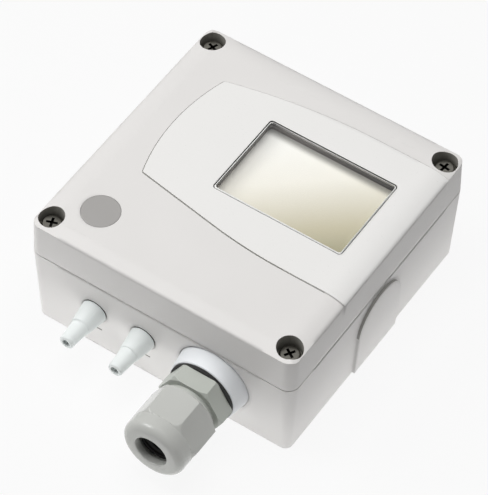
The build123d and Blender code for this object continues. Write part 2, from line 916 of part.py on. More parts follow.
def terminal_places(poles):
    """Centres of a block's poles, from its middle."""
    return [(pole - (poles - 1) / 2) * terminal_pitch for pole in range(poles)]


def terminal_middle_y():
    """Middle of both terminal blocks, just inside the main board's front edge."""
    return -main_board_depth / 2 + terminal_edge_from_board + terminal_depth / 2


def make_terminal(poles, x):
    """Terminal block with a wire opening and a screw shaft at each pole."""
    width = poles * terminal_pitch
    block = standing_box(width, terminal_depth, terminal_height)
    front_top = block.edges().filter_by(Axis.X).sort_by(lambda edge: edge.center().Z - edge.center().Y)[-1]
    block = chamfer(front_top, terminal_chamfer)
    shaft_radius = terminal_screw_radius + terminal_shaft_clearance
    shaft = cylinder_between(shaft_radius, terminal_height - terminal_shaft_depth, 2 * terminal_height)
    wire = Box(terminal_wire_opening, terminal_wire_sink, terminal_wire_opening,
               align=(Align.CENTER, Align.MIN, Align.MIN))
    for place in terminal_places(poles):
        block -= Pos(place, -terminal_depth / 2, terminal_wire_floor) * wire
        block -= Pos(place, terminal_screw_back, 0) * shaft
    return Pos(x, terminal_middle_y(), main_board_top) * block


def make_terminal_screws():
    """Slotted clamping screws of both blocks."""
    top = main_board_top + terminal_height - terminal_shaft_depth + terminal_screw_height
    screw = cylinder_between(terminal_screw_radius, -terminal_screw_height, 0)
    slot = Box(4 * terminal_screw_radius, terminal_slot_width, 2 * terminal_slot_depth)
    screw -= slot
    screws = []
    for poles, x in ((supply_poles, supply_terminal_x), (output_poles, output_terminal_x)):
        for place in terminal_places(poles):
            screws.append(Pos(x + place, terminal_middle_y() + terminal_screw_back, top) * screw)
    return screws


def display_corners(z=0.0):
    """Four fixing places on the left and right sides of the display frame."""
    window = Pos(window_x, window_y)
    return [window * place for place in at_corners(bezel_width / 2 + bezel_lug_out, bezel_lug_offset, z)]


def make_display_standoffs():
    """Hexagonal pillars from the main board to the display board."""
    outline = RegularPolygon(standoff_flats / 2, 6, major_radius=False)
    pillar = prism(outline, main_board_top, display_board_bottom)
    pillar -= cylinder_between(board_screw_radius + thread_fit_clearance,
                               display_board_bottom - standoff_hole_depth, display_board_bottom)
    return [place * pillar for place in display_corners()]


def make_display_board():
    """Board under the display."""
    plan = RectangleRounded(display_board_width, display_board_depth, display_board_corner_radius)
    board = Pos(window_x, window_y) * prism(plan, display_board_bottom, display_board_top)
    for place in display_corners():
        board -= place * cylinder_between(board_hole_radius, 0, housing_height)
    return board


def make_backlight():
    """Light guide plate under the display glass."""
    plan = Rectangle(lcd_width, lcd_depth)
    return Pos(window_x, window_y) * prism(plan, display_board_top, backlight_top)


def make_lcd_panel():
    """Display glass."""
    plan = Rectangle(lcd_width, lcd_depth)
    return Pos(window_x, window_y) * prism(plan, backlight_top, lcd_top)


def make_display_bezel():
    """Frame that holds the display glass down and lines the space up to the pane."""
    top = lcd_top + bezel_lip_height
    plan = Rectangle(bezel_width, bezel_depth)
    frame = Pos(window_x, window_y) * prism(plan, display_board_top, top)
    lug = cylinder_between(bezel_lug_radius, display_board_top, display_board_top + bezel_lug_height)
    clear_radius = board_screw_head_radius + bezel_lug_clearance
    clear = cylinder_between(clear_radius, display_board_top + bezel_lug_height, top)
    for place in display_corners():
        frame = frame - place * clear + place * lug
    glass = Rectangle(lcd_width + 2 * lcd_clearance, lcd_depth + 2 * lcd_clearance)
    frame -= Pos(window_x, window_y) * prism(glass, display_board_top, lcd_top)
    frame -= prism(window_outline(bezel_opening_margin), display_board_top, top)
    for place in display_corners():
        frame -= place * cylinder_between(board_hole_radius, display_board_top, top)
    return frame


def make_display_screws():
    """Screws through the frame's lugs and the display board into the pillars."""
    screw = small_screw(bezel_lug_height + board_thickness + standoff_hole_depth - standoff_screw_tip_gap)
    return [place * screw for place in display_corners(display_board_top + bezel_lug_height)]


def make_cable_sockets():
    """Sockets on both boards, face to face, that hold the flat cable's ends."""
    plan = Rectangle(socket_width, socket_depth)
    slot = Rectangle(cable_width + cable_slot_clearance, cable_thickness + cable_slot_clearance)
    place = Pos(cable_x, cable_y)
    lower = prism(plan, main_board_top, main_board_top + socket_height)
    lower -= prism(slot, main_board_top + socket_height - cable_plug_depth, main_board_top + socket_height)
    upper = prism(plan, display_board_bottom - socket_height, display_board_bottom)
    upper -= prism(slot, display_board_bottom - socket_height,
                   display_board_bottom - socket_height + cable_plug_depth)
    return [place * lower, place * upper]


def make_display_cable():
    """Flat cable with a slight bow between its two sockets."""
    low = main_board_top + socket_height - cable_plug_depth
    high = display_board_bottom - socket_height + cable_plug_depth
    straight = cable_plug_depth + cable_lead
    middle = (low + high) / 2
    start = (0, low + straight)
    end = (0, high - straight)
    path = [
        Line((0, low), start),
        ThreePointArc(start, (-cable_bow, middle), end),
        Line(end, (0, high)),
    ]
    section = Plane.YZ * trace(path, cable_thickness)
    band = extrude(section, amount=cable_width / 2, both=True)
    return Pos(cable_x, cable_y) * band


def main():
    """Writes one file for each sub-part."""
    parts = {
        "rear_housing": make_rear_housing(),
        "thread_inserts": make_thread_inserts(),
        "lid": make_lid(),
        "lid_gasket": make_lid_gasket(),
        "lid_screws": make_lid_screws(),
        "window_pane": make_window_pane(),
        "marker_disc": make_marker_disc(),
        "high_port": make_port(high_port_x),
        "low_port": make_port(low_port_x),
        "port_seals": make_port_seals(),
        "port_nuts": make_port_nuts(),
        "sensor_cell": make_sensor_cell(),
        "high_hose": make_hose(high_port_x),
        "low_hose": make_hose(low_port_x),
        "gland_collar": make_gland_collar(),
        "gland_seal_ring": make_gland_seal_ring(),
        "gland_body": make_gland_body(),
        "gland_seal": make_gland_seal(),
        "gland_dome_nut": make_gland_dome_nut(),
        "gland_lock_nut": make_gland_lock_nut(),
        "main_board": make_main_board(),
        "board_screws": make_board_screws(),
        "board_components": make_board_components(),
        "supply_terminal": make_terminal(supply_poles, supply_terminal_x),
        "output_terminal": make_terminal(output_poles, output_terminal_x),
        "terminal_screws": make_terminal_screws(),
        "display_standoffs": make_display_standoffs(),
        "display_board": make_display_board(),
        "backlight": make_backlight(),
        "lcd_panel": make_lcd_panel(),
        "display_bezel": make_display_bezel(),
        "display_screws": make_display_screws(),
        "cable_sockets": make_cable_sockets(),
        "display_cable": make_display_cable(),
    }
    os.makedirs("parts", exist_ok=True)
    for name, shape in parts.items():
        if isinstance(shape, list):
            shape = Compound(children=shape)
        export_step(shape, f"parts/{name}.step")
        print(name, "written")


main()
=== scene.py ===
import json
import math

import bmesh
import bpy
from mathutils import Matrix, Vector

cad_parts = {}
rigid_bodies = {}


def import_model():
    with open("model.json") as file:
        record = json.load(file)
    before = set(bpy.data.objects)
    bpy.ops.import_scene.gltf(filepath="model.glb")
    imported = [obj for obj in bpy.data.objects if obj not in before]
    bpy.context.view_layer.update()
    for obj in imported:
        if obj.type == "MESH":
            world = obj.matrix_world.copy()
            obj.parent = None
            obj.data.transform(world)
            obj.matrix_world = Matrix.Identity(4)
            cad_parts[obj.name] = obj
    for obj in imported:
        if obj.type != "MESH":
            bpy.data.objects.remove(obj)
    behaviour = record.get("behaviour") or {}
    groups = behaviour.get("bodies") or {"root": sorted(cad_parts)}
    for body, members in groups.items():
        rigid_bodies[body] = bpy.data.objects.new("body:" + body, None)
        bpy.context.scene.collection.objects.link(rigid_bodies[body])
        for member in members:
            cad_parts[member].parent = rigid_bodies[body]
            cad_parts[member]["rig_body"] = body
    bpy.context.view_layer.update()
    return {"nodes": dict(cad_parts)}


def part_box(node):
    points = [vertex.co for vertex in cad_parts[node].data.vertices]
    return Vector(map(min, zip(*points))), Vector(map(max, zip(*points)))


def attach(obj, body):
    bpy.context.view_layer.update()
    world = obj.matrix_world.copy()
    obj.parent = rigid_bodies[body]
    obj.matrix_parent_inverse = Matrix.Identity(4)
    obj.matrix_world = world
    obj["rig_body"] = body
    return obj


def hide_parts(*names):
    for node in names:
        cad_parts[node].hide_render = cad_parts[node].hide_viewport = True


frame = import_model()
print("frame loaded:", len(frame["nodes"]), "nodes")

mm = 0.001
fullTurn = 2 * math.pi


def linearColour(hexText):
    channels = [int(hexText[i:i + 2], 16) / 255 for i in (0, 2, 4)]
    return [c / 12.92 if c <= 0.04045 else ((c + 0.055) / 1.055) ** 2.4 for c in channels] + [1.0]


def addNode(tree, kind, inputs=None, **settings):
    node = tree.nodes.new(kind)
    for key, value in settings.items():
        setattr(node, key, value)
    for key, value in (inputs or {}).items():
        if isinstance(value, bpy.types.NodeSocket):
            tree.links.new(value, node.inputs[key])
        else:
            node.inputs[key].default_value = value
    return node


def emptyMaterial(name):
    material = bpy.data.materials.new(name)
    material.use_nodes = True
    material.node_tree.nodes.clear()
    return material, material.node_tree


def placedMaterial(name):  # with its object coordinates, in metres
    material, tree = emptyMaterial(name)
    return material, tree, addNode(tree, "ShaderNodeTexCoord").outputs["Object"]


def perMm(size):  # texture scale that makes one feature this many mm wide
    return 1000 / size


creaseSizes = dict(radius=2.8, inner=44.0, corner=47.0, blend=1.5, samples=8)


def softCreases(tree, place):
    # normals eased over the creases along the lid's four sides, but not at the wells in its corners
    s = creaseSizes
    split = addNode(tree, "ShaderNodeSeparateXYZ", {"Vector": place}).outputs
    across, along = [addNode(tree, "ShaderNodeMath", {0: split[axis]}, operation="ABSOLUTE").outputs[0]
                     for axis in "XY"]
    most, least = [addNode(tree, "ShaderNodeMath", {0: across, 1: along}, operation=pick).outputs[0]
                   for pick in ("MAXIMUM", "MINIMUM")]
    outside = addNode(tree, "ShaderNodeMapRange", {
        "Value": most, "From Min": s["inner"] * mm,
        "From Max": (s["inner"] + s["blend"]) * mm}).outputs["Result"]
    away = addNode(tree, "ShaderNodeMapRange", {
        "Value": least, "From Min": s["corner"] * mm,
        "From Max": (s["corner"] - s["blend"]) * mm}).outputs["Result"]
    share = addNode(tree, "ShaderNodeMath", {0: outside, 1: away}, operation="MULTIPLY").outputs[0]
    eased = addNode(tree, "ShaderNodeBevel", {
        "Radius": s["radius"] * mm}, samples=s["samples"]).outputs["Normal"]
    plain = addNode(tree, "ShaderNodeNewGeometry").outputs["Normal"]
    return addNode(tree, "ShaderNodeMix", {0: share, 4: plain, 5: eased}, data_type="VECTOR").outputs[1]


plasticGrain = dict(patchDetail=2.0, grainDetail=3.0, low=0.3, high=0.7, dullSpread=0.06, reliefDepth=0.05)


def grainyPlastic(name, base, patch, rough, grain, bump, patchMm=30.0, creases=False):
    s = plasticGrain
    material, tree, place = placedMaterial(name)
    cloud = addNode(tree, "ShaderNodeTexNoise", {
        "Vector": place, "Scale": perMm(patchMm), "Detail": s["patchDetail"]})
    fine = addNode(tree, "ShaderNodeTexNoise", {
        "Vector": place, "Scale": perMm(grain), "Detail": s["grainDetail"]})
    colour = addNode(tree, "ShaderNodeMix", {
        0: cloud.outputs["Fac"], 6: linearColour(base), 7: linearColour(patch)}, data_type="RGBA")
    dullness = addNode(tree, "ShaderNodeMapRange", {
        "Value": fine.outputs["Fac"], "From Min": s["low"], "From Max": s["high"],
        "To Min": rough - s["dullSpread"], "To Max": rough + s["dullSpread"]})
    relief = addNode(tree, "ShaderNodeBump", {
        "Height": fine.outputs["Fac"], "Strength": bump, "Distance": s["reliefDepth"] * mm})
    if creases:
        tree.links.new(softCreases(tree, place), relief.inputs["Normal"])
    shader = addNode(tree, "ShaderNodeBsdfPrincipled", {
        "Base Color": colour.outputs[2], "Roughness": dullness.outputs["Result"],
        "Normal": relief.outputs["Normal"]})
    addNode(tree, "ShaderNodeOutputMaterial", {"Surface": shader.outputs["BSDF"]})
    return material


# each plastic: name, colour, colour of its patches, roughness, grain in mm, relief, patches in mm
materials = {
    # injection moulded ABS with a fine spark-eroded grain: pale, with a wide soft gloss
    "housing": grainyPlastic("mouldedAbsPaleGrey", "D9D7D5", "DEDCDA", 0.42, 0.6, 0.25, creases=True),
    # the same ABS from a polished part of the mould: a shade lighter and smoother
    "panel": grainyPlastic("polishedAbsPaleGrey", "E3E2E0", "E6E5E3", 0.33, 0.8, 0.12, creases=True),
    # painted shadow for the line between window and lid: black, dull
    "gapShadow": grainyPlastic("windowGapPaintedShadow", "1E1D1C", "262524", 0.7, 0.4, 0.3),
    # turned polyamide connectors: cool pale grey with a satin gloss
    "port": grainyPlastic("polyamidePaleGrey", "DCE1E0", "E2E6E5", 0.38, 0.5, 0.2),
    # moulded polyamide spacer: nearly white, satin
    "collar": grainyPlastic("polyamideWhiteGrey", "DEE1E4", "E4E6E8", 0.4, 0.5, 0.2),
    # moulded polyamide gland body: mid grey, slightly green, satin
    "gland": grainyPlastic("polyamideMidGrey", "A9ADA6", "B4B7B1", 0.42, 0.5, 0.25),
    # moulded polyamide dome nut: lighter grey and smoother, so its round nose shines
    "dome": grainyPlastic("polyamideLightGrey", "B4B5B1", "BCBDB9", 0.14, 0.5, 0.02),
    # nitrile and chloroprene seals: black and matt
    "rubber": grainyPlastic("nitrileRubberBlack", "141414", "1C1B1A", 0.65, 0.4, 0.4),
    # silicone hose: milky, waxy gloss
    "hose": grainyPlastic("siliconeHosePale", "CFCEC8", "D8D7D2", 0.4, 0.6, 0.15),
    # light guide plate: glossy milky acrylic
    "guide": grainyPlastic("acrylicLightGuide", "E4E4DC", "ECECE6", 0.25, 0.8, 0.05),
    # nylon cable sockets: ivory, satin
    "socket": grainyPlastic("nylonIvory", "DAD5C4", "E0DCCD", 0.45, 0.5, 0.2),
    # glass filled nylon of the pressure cell: dark, with a mottled dull skin
    "cell": grainyPlastic("glassFilledNylonGrey", "3E4042", "4E5054", 0.5, 0.5, 0.35, 4.0),
    # polyamide terminals: plain green, satin
    "terminal": grainyPlastic("polyamideGreen", "2C7A48", "328450", 0.4, 0.5, 0.2),
    # epoxy moulding compound of the chips: near black, fine dull grain
    "chip": grainyPlastic("epoxyBlack", "1B1B1C", "232324", 0.45, 0.4, 0.35),
    # ceramic body of the small surface-mounted parts: warm brown, dull
    "ceramic": grainyPlastic("ceramicBrown", "8C7458", "977E61", 0.55, 0.4, 0.1, 3.0),
    # ribbon of the flat cable: milky polyester film
    "film": grainyPlastic("polyesterFilm", "DAD8CE", "E4E2D9", 0.3, 0.8, 0.05),
    # pad-printed ink of the marks beside the connectors: dull mid grey
    "ink": grainyPlastic("padPrintGrey", "72706C", "7A7874", 0.6, 0.3, 0.1, 1.0),
}


metalGrain = dict(detail=4.0, dullSpread=0.08)


def turnedMetal(name, base, streak, rough, streakMm):
    s = metalGrain
    material, tree, place = placedMaterial(name)
    fine = addNode(tree, "ShaderNodeTexNoise", {
        "Vector": place, "Scale": perMm(streakMm), "Detail": s["detail"]})
    colour = addNode(tree, "ShaderNodeMix", {
        0: fine.outputs["Fac"], 6: linearColour(base), 7: linearColour(streak)}, data_type="RGBA")
    dullness = addNode(tree, "ShaderNodeMapRange", {
        "Value": fine.outputs["Fac"], "To Min": rough - s["dullSpread"], "To Max": rough + s["dullSpread"]})
    shader = addNode(tree, "ShaderNodeBsdfPrincipled", {
        "Base Color": colour.outputs[2], "Metallic": 1.0, "Roughness": dullness.outputs["Result"]})
    addNode(tree, "ShaderNodeOutputMaterial", {"Surface": shader.outputs["BSDF"]})
    return material


# zinc plated steel: bright cool grey with small cloudy patches
materials["steel"] = turnedMetal("zincPlatedSteel", "807E77", "5C5A55", 0.3, 0.8)
# the same steel inside the recess, nearly black: painted shade
materials["recess"] = turnedMetal("recessSteelPaintedShade", "2A2826", "1C1B1A", 0.5, 0.5)
# turned brass: warm yellow, soft streaks
materials["brass"] = turnedMetal("turnedBrass", "C8A050", "B89044", 0.3, 0.6)
# tinned copper of leads and pads: pale and bright
materials["tin"] = turnedMetal("tinnedCopper", "C9C8C2", "B6B4AC", 0.3, 0.5)


discLook = dict(centre=(-39.8, -41.6), ringMm=0.2, waver=0.6, waverDetail=2.0, dullLow=0.4, dullHigh=0.5,
                relief=0.5, reliefDepth=0.02)


def spunDisc():
    # spun aluminium disc: fine rings round its centre, which spread its gloss;
    # real rings are 0.05 mm apart, and these are four times as coarse so that they still catch light
    s = discLook
    material, tree, place = placedMaterial("spunAluminium")
    centred = addNode(tree, "ShaderNodeMapping", {
        "Vector": place, "Location": [-c * mm for c in s["centre"]] + [0]}, vector_type="POINT")
    rings = addNode(tree, "ShaderNodeTexWave", {
        "Vector": centred.outputs["Vector"], "Scale": perMm(s["ringMm"]) / fullTurn,
        "Distortion": s["waver"], "Detail": s["waverDetail"]}, wave_type="RINGS", rings_direction="Z")
    colour = addNode(tree, "ShaderNodeMix", {
        0: rings.outputs["Fac"], 6: linearColour("A9A7A5"), 7: linearColour("9D9B99")}, data_type="RGBA")
    dullness = addNode(tree, "ShaderNodeMapRange", {
        "Value": rings.outputs["Fac"], "To Min": s["dullLow"], "To Max": s["dullHigh"]})
    relief = addNode(tree, "ShaderNodeBump", {
        "Height": rings.outputs["Fac"], "Strength": s["relief"], "Distance": s["reliefDepth"] * mm})
    shader = addNode(tree, "ShaderNodeBsdfPrincipled", {
        "Base Color": colour.outputs[2], "Metallic": 1.0, "Roughness": dullness.outputs["Result"],
        "Normal": relief.outputs["Normal"]})
    addNode(tree, "ShaderNodeOutputMaterial", {"Surface": shader.outputs["BSDF"]})
    return material


paneLook = dict(smearMm=12.0, smearDetail=2.0, dullHigh=0.04, ior=1.49)


def clearAcrylic():
    # polished acrylic pane: clear, with a faint uneven film of dust
    s = paneLook
    material, tree, place = placedMaterial("clearAcrylic")
    smear = addNode(tree, "ShaderNodeTexNoise", {
        "Vector": place, "Scale": perMm(s["smearMm"]), "Detail": s["smearDetail"]})
    dullness = addNode(tree, "ShaderNodeMapRange", {
        "Value": smear.outputs["Fac"], "To Min": 0.0, "To Max": s["dullHigh"]})
    glass = addNode(tree, "ShaderNodeBsdfPrincipled", {
        "Base Color": linearColour("FBFCFA"), "Roughness": dullness.outputs["Result"],
        "IOR": s["ior"], "Transmission Weight": 1.0})
    clear = addNode(tree, "ShaderNodeBsdfTransparent")
    path = addNode(tree, "ShaderNodeLightPath")
    either = addNode(tree, "ShaderNodeMath", {
        0: path.outputs["Is Shadow Ray"], 1: path.outputs["Is Diffuse Ray"]}, operation="MAXIMUM")
    mixed = addNode(tree, "ShaderNodeMixShader", {
        0: either.outputs[0], 1: glass.outputs["BSDF"], 2: clear.outputs["BSDF"]})
    addNode(tree, "ShaderNodeOutputMaterial", {"Surface": mixed.outputs["Shader"]})
    return material


displayLook = dict(  # edges in mm, share of the painted highlight's fade that goes across, painted shade by the bezel, and colours
    left=-12.0, right=46.0, front=-8.0, back=32.0, acrossShare=0.55, shadeWide=3.5, leftShade=0.8,
    backShade=0.3, rough=0.3, stops=[(0.0, "FBFAF8"), (0.4, "F1EDE4"), (0.75, "BCB499"), (1.0, "807B56")])


def displayGlass():
    # unlit reflective display in its own olive, with a painted highlight that is nearly white at the back
    # left and fades to olive at the front right, and painted shade along the two sides under the bezel
    s = displayLook
    material, tree, place = placedMaterial("displayGlass")
    split = addNode(tree, "ShaderNodeSeparateXYZ", {"Vector": place}).outputs
    across, down = [addNode(tree, "ShaderNodeMapRange", {
        "Value": split[axis], "From Min": s[start] * mm, "From Max": s[end] * mm,
        "To Max": share}).outputs["Result"] for axis, start, end, share in (
            ("X", "left", "right", s["acrossShare"]), ("Y", "back", "front", 1 - s["acrossShare"]))]
    fade = addNode(tree, "ShaderNodeMath", {0: across, 1: down}, operation="ADD").outputs[0]
    ramp = addNode(tree, "ShaderNodeValToRGB", {"Fac": fade})
    elements = ramp.color_ramp.elements
    first, *middle, last = s["stops"]
    for element, (position, hexText) in zip(elements, (first, last)):
        element.position, element.color = position, linearColour(hexText)
    for position, hexText in middle:
        elements.new(position).color = linearColour(hexText)
    # painted shade along the left and back sides, towards the bezel
    nearLeft, nearBack = [addNode(tree, "ShaderNodeMapRange", {
        "Value": split[axis], "From Min": start * mm, "From Max": (start + wide) * mm,
        "To Min": dark}, interpolation_type="SMOOTHSTEP").outputs["Result"] for axis, start, wide, dark in (
            ("X", s["left"], s["shadeWide"], s["leftShade"]),
            ("Y", s["back"], -s["shadeWide"], s["backShade"]))]
    lit = addNode(tree, "ShaderNodeMath", {0: nearLeft, 1: nearBack}, operation="MULTIPLY").outputs[0]
    colour = addNode(tree, "ShaderNodeMix", {
        0: lit, 6: linearColour("5C5A55"), 7: ramp.outputs["Color"]}, data_type="RGBA")
    shader = addNode(tree, "ShaderNodeBsdfPrincipled", {
        "Base Color": colour.outputs[2], "Roughness": s["rough"]})
    addNode(tree, "ShaderNodeOutputMaterial", {"Surface": shader.outputs["BSDF"]})
    return material


maskLook = dict(trackLong=10.16, trackPitch=2.54, trackWide=0.16, patchMm=9.0, patchDetail=1.0, laidFrom=0.5,
                rough=0.28, relief=0.6, reliefDepth=0.04)


def solderMask():
    # green solder mask over copper: glossy, with slightly raised lighter tracks under it
    s = maskLook
    material, tree, place = placedMaterial("solderMaskGreen")
    tracks = addNode(tree, "ShaderNodeTexBrick", {
        "Vector": place, "Scale": perMm(1), "Brick Width": s["trackLong"], "Row Height": s["trackPitch"],
        "Mortar Size": s["trackWide"], "Mortar Smooth": 0.0})
    spread = addNode(tree, "ShaderNodeTexNoise", {
        "Vector": place, "Scale": perMm(s["patchMm"]), "Detail": s["patchDetail"]})
    laid = addNode(tree, "ShaderNodeMath", {
        0: spread.outputs["Fac"], 1: s["laidFrom"]}, operation="GREATER_THAN")
    copper = addNode(tree, "ShaderNodeMath", {
        0: tracks.outputs["Fac"], 1: laid.outputs[0]}, operation="MULTIPLY")
    colour = addNode(tree, "ShaderNodeMix", {
        0: copper.outputs[0], 6: linearColour("1A5E38"), 7: linearColour("3B8A58")}, data_type="RGBA")
    relief = addNode(tree, "ShaderNodeBump", {
        "Height": copper.outputs[0], "Strength": s["relief"], "Distance": s["reliefDepth"] * mm})
    shader = addNode(tree, "ShaderNodeBsdfPrincipled", {
        "Base Color": colour.outputs[2], "Roughness": s["rough"], "Normal": relief.outputs["Normal"]})
    addNode(tree, "ShaderNodeOutputMaterial", {"Surface": shader.outputs["BSDF"]})
    return material


bezelLook = dict(start=-12.0, end=46.0, rough=0.6, grainMm=0.5, grainDetail=3.0, relief=0.2, reliefDepth=0.05)


def bezelPlastic():
    # matt dark ABS of the display's frame, with painted light: paler on the left, nearly black on the right
    s = bezelLook
    material, tree, place = placedMaterial("mattDarkAbs")
    split = addNode(tree, "ShaderNodeSeparateXYZ", {"Vector": place})
    across = addNode(tree, "ShaderNodeMapRange", {
        "Value": split.outputs["X"], "From Min": s["start"] * mm,
        "From Max": s["end"] * mm}).outputs["Result"]
    grain = addNode(tree, "ShaderNodeTexNoise", {
        "Vector": place, "Scale": perMm(s["grainMm"]), "Detail": s["grainDetail"]})
    colour = addNode(tree, "ShaderNodeMix", {
        0: across, 6: linearColour("7A7472"), 7: linearColour("161413")}, data_type="RGBA")
    relief = addNode(tree, "ShaderNodeBump", {
        "Height": grain.outputs["Fac"], "Strength": s["relief"], "Distance": s["reliefDepth"] * mm})
    shader = addNode(tree, "ShaderNodeBsdfPrincipled", {
        "Base Color": colour.outputs[2], "Roughness": s["rough"], "Normal": relief.outputs["Normal"]})
    addNode(tree, "ShaderNodeOutputMaterial", {"Surface": shader.outputs["BSDF"]})
    return material


wellLook = dict(low=50.0, high=56.8, blotchMm=2.0, blotchDetail=3.0, unevenness=0.2, rough=0.5)


def wellPlastic():
    # the housing's ABS deep in the screw wells, a little rougher, with painted shade: darker towards the
    # screw
    s = wellLook
    material, tree, place = placedMaterial("wellAbsPaintedShade")
    split = addNode(tree, "ShaderNodeSeparateXYZ", {"Vector": place})
    depth = addNode(tree, "ShaderNodeMapRange", {
        "Value": split.outputs["Z"], "From Min": s["low"] * mm, "From Max": s["high"] * mm}).outputs["Result"]
    blotch = addNode(tree, "ShaderNodeTexNoise", {
        "Vector": place, "Scale": perMm(s["blotchMm"]), "Detail": s["blotchDetail"]})
    uneven = addNode(tree, "ShaderNodeMapRange", {
        "Value": blotch.outputs["Fac"], "To Min": -s["unevenness"],
        "To Max": s["unevenness"]}).outputs["Result"]
    blend = addNode(tree, "ShaderNodeMath", {0: depth, 1: uneven}, operation="ADD", use_clamp=True).outputs[0]
    # painted shade: dark near the well's floor, the housing's pale tone at the rim
    colour = addNode(tree, "ShaderNodeMix", {
        0: blend, 6: linearColour("6E6C64"), 7: linearColour("BCBAB4")}, data_type="RGBA")
    shader = addNode(tree, "ShaderNodeBsdfPrincipled", {
        "Base Color": colour.outputs[2], "Roughness": s["rough"]})
    addNode(tree, "ShaderNodeOutputMaterial", {"Surface": shader.outputs["BSDF"]})
    return material


materials["bezel"] = bezelPlastic()
materials["well"] = wellPlastic()
# painted shade on the side face along the upper edge of the blank boss: darker grey, rough
materials["witness"] = grainyPlastic("bossEdgePaintedShade", "8B8A86", "93928E", 0.6, 0.4, 0.3)
# the same ABS in the fine groove round the panel, darker: painted shade
materials["groove"] = grainyPlastic("dustyAbsInGroove", "A3A29E", "AAA9A5", 0.6, 0.4, 0.2)
materials["disc"] = spunDisc()
materials["pane"] = clearAcrylic()
# ground edge of the pane: scatters the light, so it reads as a white line
materials["paneEdge"] = grainyPlastic("groundAcrylicEdge", "F6F6F4", "FAFAF8", 0.5, 0.3, 0.2)
materials["display"] = displayGlass()
materials["board"] = solderMask()
print("materials made:", len(materials))


def showPiece(piece, body, slot, *nodes):
    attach(piece, body)
    if nodes:
        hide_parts(*nodes)


sharpDegrees = 30
roundSegments = 2
weldSizes = dict(reach=0.001, flatDegrees=0.15)


def smoothShaded(mesh, degrees=sharpDegrees):
    mesh.shade_smooth()
    mesh.set_sharp_from_angle(angle=math.radians(degrees))


def linkedPiece(name, mesh):
    piece = bpy.data.objects.new(name, mesh)
    bpy.context.collection.objects.link(piece)
    return piece


def addFinish(mesh, finish):  # gives the slot's number, for the faces that carry it
    mesh.materials.append(materials[finish])
    return len(mesh.materials) - 1


def evaluatedMesh(piece):
    return bpy.data.meshes.new_from_object(piece.evaluated_get(bpy.context.evaluated_depsgraph_get()))


def mergedCopy(nodeName):  # the CAD mesh is loose triangles, so its copy is joined up
    s = weldSizes
    mesh = frame["nodes"][nodeName].data.copy()
    shape = bmesh.new()
    shape.from_mesh(mesh)
    bmesh.ops.remove_doubles(shape, verts=shape.verts, dist=s["reach"] * mm)
    bmesh.ops.dissolve_limit(shape, angle_limit=math.radians(s["flatDegrees"]), verts=shape.verts,
                             edges=shape.edges)
    shape.to_mesh(mesh)
    shape.free()
    mesh.materials.clear()
    return mesh


def roundEdges(piece, width):
    piece.data.shade_smooth()
    rounding = piece.modifiers.new("rounding", "BEVEL")
    rounding.width = width * mm
    rounding.segments = roundSegments
    rounding.limit_method = "ANGLE"
    rounding.angle_limit = math.radians(sharpDegrees)
    rounding.use_clamp_overlap = False
    levelling = piece.modifiers.new("levelling", "WEIGHTED_NORMAL")
    levelling.keep_sharp = True
    piece.data = evaluatedMesh(piece)
    piece.modifiers.clear()


def dressedCopy(nodeName, slot, finish, edge):
    mesh = mergedCopy(nodeName)
    addFinish(mesh, finish)
    piece = linkedPiece(nodeName + "Piece", mesh)
    if edge:
        roundEdges(piece, edge)
    else:
        smoothShaded(piece.data)
    showPiece(piece, frame["nodes"][nodeName]["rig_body"], slot, nodeName)
    return piece


# slot of the record, finish, rounded edge in mm, and the nodes that keep their CAD shape
dressing = [
    ("housing_plastic", "housing", 0.12, ["rear_housing", "lid"]),
    ("display_glass", "display", 0.0, ["lcd_panel"]),
    ("bezel_plastic", "bezel", 0.1, ["display_bezel"]),
    ("light_guide", "guide", 0.1, ["backlight"]),
    ("disc_metal", "disc", 0.0, ["marker_disc"]),
    ("screw_steel", "steel", 0.0, ["terminal_screws"]),
    ("insert_brass", "brass", 0.0, ["thread_inserts", "display_standoffs"]),
    ("seal_rubber", "rubber", 0.0, ["lid_gasket", "port_seals", "gland_seal_ring", "gland_seal"]),
    ("hose_rubber", "hose", 0.0, ["high_hose", "low_hose"]),
    ("port_plastic", "port", 0.0, ["high_port", "low_port", "port_nuts"]),
    ("collar_plastic", "collar", 0.1, ["gland_collar"]),
    ("gland_plastic", "gland", 0.1, ["gland_body"]),
    ("board_laminate", "board", 0.0, ["main_board", "display_board"]),
    ("component_black", "chip", 0.1, ["board_components"]),
    ("cell_plastic", "cell", 0.2, ["sensor_cell"]),
    ("terminal_green", "terminal", 0.1, ["supply_terminal", "output_terminal"]),
    ("cable_film", "film", 0.0, ["display_cable"]),
    ("socket_plastic", "socket", 0.1, ["cable_sockets"]),
]
dressed = {}
for slot, finish, edge, nodeNames in dressing:
    for nodeName in nodeNames:
        dressed[nodeName] = dressedCopy(nodeName, slot, finish, edge)
print("pieces dressed:", len(dressed))

panelSizes = dict(top=57.4, reach=0.01, level=0.99, spreadDegrees=14)


def finishPanel():  # the raised panel is a smoother part of the lid's moulding
    s = panelSizes
    mesh = dressed["lid"].data
    finish = addFinish(mesh, "panel")
    shape = bmesh.new()
    shape.from_mesh(mesh)
    limit = math.cos(math.radians(s["spreadDegrees"]))
    waiting = [f for f in shape.faces if f.normal.z > s["level"]
               and abs(f.calc_center_median().z - s["top"] * mm) < s["reach"] * mm]
    reached = set(waiting)
    while waiting:
        face = waiting.pop()
        for edge in face.edges:
            for other in edge.link_faces:
                if other not in reached and other.normal.dot(face.normal) > limit:
                    reached.add(other)
                    waiting.append(other)
    for face in reached:
        face.material_index = finish
    shape.to_mesh(mesh)
    shape.free()
    print("panel faces:", len(reached))


finishPanel()

windowSizes = dict(centre=(17.1, 12.2), width=58.2, depth=40.7, wallLow=55.6, wallHigh=57.3, wallReach=0.4,
                   upright=0.3)
paneSizes = dict(flangeTop=54.4, flangeReach=0.05, gap=0.2, groundEdge=0.15, edgeAbove=0.5, edgeLow=0.2,
                 edgeHigh=0.95, polished=0.98, sharpDegrees=20)


